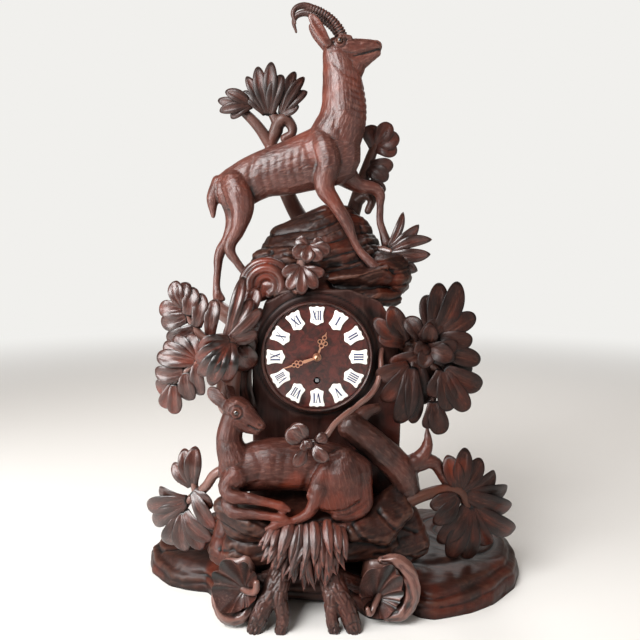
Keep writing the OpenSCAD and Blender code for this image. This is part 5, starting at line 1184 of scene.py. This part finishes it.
summitLeaves = {
    "name": "summitLeaves", "node": "summit_leaves", "finish": "oak", "shift": onSummit, "look": "clover",
    "stems": [[(-14, -48, 12, 7), (-15, -56, 24, 6), (-14, -60, 34, 5)], [(-16, -54, 16, 6), (-20, -60, 8, 5),
                                                                        (-20, -64, 0, 5)]],
    "fingers": [((-8, -56, 44), [(-10, -66, 27), (-24, -62, 33), (5, -64, 29), (14, -60, 38), (-22, -56, 50)],
                 13, 4),
                ((-2, -54, 42), [(4, -58, 52)], 12, 4),
                ((-16, -58, 24), [(-29, -68, 0), (-15, -71, -5), (0, -69, 1), (-35, -64, 15), (8, -64, 16)],
                 12, 4)]}
carveLeaf(summitLeaves)
print("scene: summit carved")


# Leaf clusters beside the dial

leftLeaves = {
    "name": "oakClusterLeft", "node": "oak_cluster_left", "finish": "oak", "shift": (-66, -62, 246),
    "stems": [[(6, 14, 14, 12), (-14, 2, 14, 11), (-30, -8, 15, 8), (-47, -10, 19, 5), (-60, -9, 36, 3.5),
               (-72, -8, 54, 2)],
              [(-14, 2, 14, 11), (-22, -4, -20, 12), (-22, -10, -48, 12), (-14, -8, -62, 9)],
              [(-20, -20, 16, 7), (-34, -26, 8, 5), (-52, -27, -4, 4), (-66, -26, -16, 3),
               (-77, -25, -28, 2)],
              [(-16, 0, 14, 10), (-18, -16, 16, 9), (-20, -24, 14, 7)],
              [(8, 40, 16, 12), (-24, 48, 32, 10), (-42, 50, 44, 9)]],
    "fingers": [((-66, -8, 48), [(-76, -4, 75), (-64, -4, 74), (-92, -2, 46)], 13),
                ((-62, -9, 40), [(-57, -4, 69), (-90, -2, 32)], 13),
                ((-54, -10, 28), [(-49, -4, 63), (-85, -2, 16)], 14),
                ((-40, -10, 20), [(-35, -6, 57)], 13),
                ((-50, -27, -2),
                 [(-84, -20, 14), (-73, -20, 22), (-59, -22, 24), (-91, -20, 2), (-48, -22, -37)], 14),
                ((-62, -26, -12), [(-93, -20, -14), (-58, -22, -42)], 14),
                ((-73, -25, -24), [(-92, -18, -30), (-86, -18, -50), (-75, -20, -56)], 13),
                ((-18, -26, 17),
                 [(-48, -34, 12), (-50, -38, 0), (-47, -38, -14), (-36, -38, -24), (-22, -34, -22)],
                 15, 4, 0.3),
                ((-22, -20, 18), [(-6, -8, 80), (2, -12, 58), (12, -14, 48), (8, -16, 24)], 11, 4),
                ((-6, 0, 34), [(7, 0, 68)], 13, 4), ((-4, 8, -2), [(3, 8, -68)], 14, 5),
                ((-18, -10, 14), [(6, -10, 8), (2, -8, -12)], 22, 5)]}
carveLeaf(leftLeaves)

rightLeaves = {
    "name": "oakClusterRight", "node": "oak_cluster_right", "finish": "redLeafShaded", "shift": (86, -62, 246),
    "stems": [[(-6, 16, 10, 13), (12, 6, 12, 11), (24, -10, 14, 8), (30, -19, 18, 5)],
              [(18, 0, 8, 8), (28, -14, -8, 6), (34, -20, -12, 4), (30, -22, -30, 3), (28, -22, -46, 3)],
              [(10, 4, 6, 9), (8, -8, -10, 6), (2, -11, -30, 4), (-2, -12, -46, 3)]],
    "fingers": [((28, -24, 22), [(50, -26, 75), (32, -24, 74), (20, -20, 62)], 16.5),
                ((32, -26, 22), [(67, -26, 43), (64, -30, 18)], 16.5),
                ((32, -26, 8), [(73, -26, -2)], 16.5),
                ((30, -18, 2), [(67, -17, -14)], 17),
                ((36, -28, -10), [(75, -24, -28), (61, -24, -52), (42, -26, -52), (26, -26, -38)], 16.5),
                ((28, -24, -42), [(36, -22, -76), (22, -22, -70)], 15),
                ((16, -20, 18), [(2, -16, 40), (36, -30, 40)], 16),
                ((6, -18, -8), [(-28, -16, -18), (-22, -16, -44), (-6, -18, -66), (10, -18, -66)], 17),
                ((12, -12, 2), [(22, -12, -48), (14, -14, -40)], 15),
                ((24, -12, 6), [(-14, -8, -8), (31, -10, -34)], 17),
                ((2, -8, 14), [(-26, -14, 20), (-30, -12, 38), (-14, -12, 50)], 15.5),
                ((22, -20, 10), [(50, -34, 16), (46, -36, 2), (14, -34, -8)], 15, 4, 0.2, 0.6),
                ((20, -18, 16), [(8, -32, 6), (22, -36, 36)], 13, 4, 0.2, 0.6)]}
carveLeaf(rightLeaves)
print("scene: leaf clusters carved")


# Case, dial, hands and movement

def copyNode(node):
    # a merged copy of a CAD node, smooth where the real piece is round
    mesh = frame["nodes"][node].data.copy()
    piece = bpy.data.objects.new(node + "Copy", mesh)
    bpy.context.scene.collection.objects.link(piece)
    selectOnly(piece)
    editAll(bpy.ops.mesh.remove_doubles, threshold=0.01 * mm)
    bpy.ops.object.shade_smooth_by_angle(angle=math.radians(30))
    return piece


def dress(node, finish, bevel=0.0):
    piece = copyNode(node)
    if bevel:
        useModifier(piece, "BEVEL", width=bevel * mm, segments=2, limit_method="ANGLE",
                    angle_limit=math.radians(40))
        selectOnly(piece)
        bpy.ops.object.shade_smooth_by_angle(angle=math.radians(35))
    return finishPiece(piece, node + "Dressed", [node], finish)


# the case is carved on its sides and round the dial, not near the bezel, the back edge or the front edge
caseLook = {"voxel": 1.7, "sideHills": [(1.6, (16, 22, 30), 9), (0.5, 7, 2)], "bezelClear": 60,
            "backFade": (36, 48), "frontFade": (-62, -52), "front": 1.4, "ringFade": (60, 70),
            "ringGroove": {"radius": 62, "width": 1.2, "depth": 1.2}}
case = copyNode("clock_case")
useModifier(case, "REMESH", mode="VOXEL", voxel_size=caseLook["voxel"] * mm, use_smooth_shade=True)
points, normals = readSurface(case)
radius = np.hypot(points[:, 0], points[:, 2] - dialHeight)
outside = (np.abs(points[:, 0]) > 50) | (points[:, 2] > 290)
side = (radius > caseLook["bezelClear"]) & (np.abs(normals[:, 1]) < 0.6) & outside
fade = 1 - smoothStep(*caseLook["backFade"], points[:, 1])
fade *= smoothStep(*caseLook["frontFade"], points[:, 1])
cut = addHills(0, points, caseLook["sideHills"])
front = (normals[:, 1] < -0.6) & (points[:, 1] < caseFront + 1)
depth, groove = caseLook["front"], caseLook["ringGroove"]
carved = smoothStep(*caseLook["ringFade"], radius) * (-depth + depth * softNoise(points / (11, 20, 17), 31))
carved -= groove["depth"] * np.exp(-((radius - groove["radius"]) / groove["width"]) ** 2)
points = points + normals * (cut * side * fade + carved * front)[:, None]
storeCarving(case, points, points[:, [2, 0, 1]], rounds=5, deep=1.0)
finishPiece(case, "clockCase", ["clock_case"], finishes["shade"])

dress("dial_bezel", finishes["rim"], 0.3)
dress("dial_plate", finishes["burl"], 0.2)
dress("back_door", finishes["board"], 0.9)

cartoucheLook = {"ring": 41, "face": -74, "thick": 1.45,
                 "dome": ((0.975, 0.1), (0.95, 0.1), (0.9, 0.08), (0.8, 0.06), (0.6, 0.04)),
                 "half": [(0, 10), (3.2, 8.9), (6.8, 9.3), (8, 7.8), (6.9, 4), (6.3, -0.5), (6.8, -4.6),
                          (6.7, -6.8), (3.8, -7.9), (0, -9.9)], "height": 19 / 20}


def turned(points, degrees):
    # turns points clockwise about the dial's axis, seen from the front
    a = math.radians(-degrees)
    x, z = points[:, 0].copy(), points[:, 2] - dialHeight
    points[:, 0] = x * math.cos(a) - z * math.sin(a)
    points[:, 2] = dialHeight + x * math.sin(a) + z * math.cos(a)
    return points


half = cartoucheLook["half"]
outline = smoothLoop(half + [(-x, z) for x, z in half[-2:0:-1]])
bpy.ops.mesh.primitive_circle_add(vertices=len(outline), radius=mm, fill_type="NGON", location=(0, 0, 0))
shield = bpy.context.object
for vertex, (x, z) in zip(shield.data.vertices, outline):
    vertex.co = (x * cartoucheLook["height"] * mm, cartoucheLook["face"] * mm,
                 (z * cartoucheLook["height"] + cartoucheLook["ring"] + dialHeight) * mm)
bpy.ops.object.mode_set(mode="EDIT")
bpy.ops.mesh.select_all(action="SELECT")
bpy.ops.mesh.extrude_region_move(TRANSFORM_OT_translate={"value": (0, -cartoucheLook["thick"] * mm, 0)})
shieldMiddle = (0, 0, (cartoucheLook["ring"] + dialHeight) * mm)
for share, lift in cartoucheLook["dome"]:
    bpy.ops.mesh.extrude_region_move(TRANSFORM_OT_translate={"value": (0, -lift * mm, 0)})
    bpy.ops.transform.resize(value=(share, 1, share), center_override=shieldMiddle)
bpy.ops.object.mode_set(mode="OBJECT")
editAll(bpy.ops.mesh.normals_make_consistent, inside=False)
shields = []
for hour in range(12):
    copy = copyOf(shield)
    writePoints(copy, turned(readPoints(copy), 30 * hour))
    shields.append(copy)
bpy.data.objects.remove(shield)
shieldRing = joinPieces(shields, "cartouches")
bpy.ops.object.shade_smooth_by_angle(angle=math.radians(50))
finishPiece(shieldRing, "cartouches", ["numeral_cartouches"], finishes["enamel"])

numeralLook = {"height": 9.6, "thick": 1.45, "thin": 0.65, "serif": 2.3, "serifHeight": 0.42, "widest": 8.8,
               "advance": {"I": 2.5, "V": 5.6, "X": 5.4}, "span": {"I": 0, "V": 1.9, "X": 1.8},
               "lift": 0.5, "ring": 41.3, "face": -75.45}
romans = ["XII", "I", "II", "III", "IIII", "V", "VI", "VII", "VIII", "IX", "X", "XI"]


def letterStrokes(letter):
    # the strokes and serifs of a letter, each as four corners, x and z from the letter's middle
    h, thick, thin = numeralLook["height"] / 2, numeralLook["thick"] / 2, numeralLook["thin"] / 2
    wide, foot, span = numeralLook["serif"] / 2, numeralLook["serifHeight"], numeralLook["span"][letter]
    if letter == "I":
        strokes = [(0, -h, 0, h, thick)]
        serifs = [(0, h), (0, -h)]
    elif letter == "V":
        strokes = [(-span, h, 0, -h, thick), (span, h, 0, -h, thin)]
        serifs = [(-span, h), (span, h)]
    else:
        strokes = [(-span, h, span, -h, thick), (span, h, -span, -h, thin)]
        serifs = [(x, z) for x in (-span, span) for z in (h, -h)]
    made = [[(a - w, b), (a + w, b), (c + w, d), (c - w, d)] for a, b, c, d, w in strokes]
    for x, z in serifs:
        inner = z - math.copysign(foot, z)
        made.append([(x - wide, z), (x + wide, z), (x + wide * 0.8, inner), (x - wide * 0.8, inner)])
    return made


inked = []
for hour, roman in enumerate(romans):
    widths = [numeralLook["advance"][letter] for letter in roman]
    share = min(1, numeralLook["widest"] / sum(widths))
    x = -sum(widths) / 2
    for letter, width in zip(roman, widths):
        for quad in letterStrokes(letter):
            bpy.ops.mesh.primitive_cube_add(size=2 * mm, location=(0, 0, 0))
            stroke = bpy.context.object
            points = readPoints(stroke)
            shaped = []
            for px, py, pz in points:
                corner = quad[(0 if px < 0 else 1) if pz > 0 else (3 if px < 0 else 2)]
                shaped.append(((x + width / 2 + corner[0]) * share,
                               numeralLook["face"] - numeralLook["lift"] * (py < 0),
                               corner[1] + numeralLook["ring"] + dialHeight))
            writePoints(stroke, turned(np.array(shaped), 30 * hour))
            inked.append(stroke)
        x += width
numerals = joinPieces(inked, "numerals")
editAll(bpy.ops.mesh.normals_make_consistent, inside=False)
numerals.data.materials.clear()
numerals.data.materials.append(finishes["ink"])
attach(numerals, "root")

replaced = set()
for obj in bpy.data.objects:
    replaced.update(obj.get("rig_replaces", []))
for node in sorted(frame["nodes"]):
    if node not in replaced:
        gilded = slotOf[node] == "gilt" or node == "hand_nut"
        dress(node, finishes["gilt" if gilded else slotOf[node]], 0.18 if slotOf[node] == "gilt" else 0.0)
bpy.data.objects.remove(fingerStart)
print("scene: clock dressed")
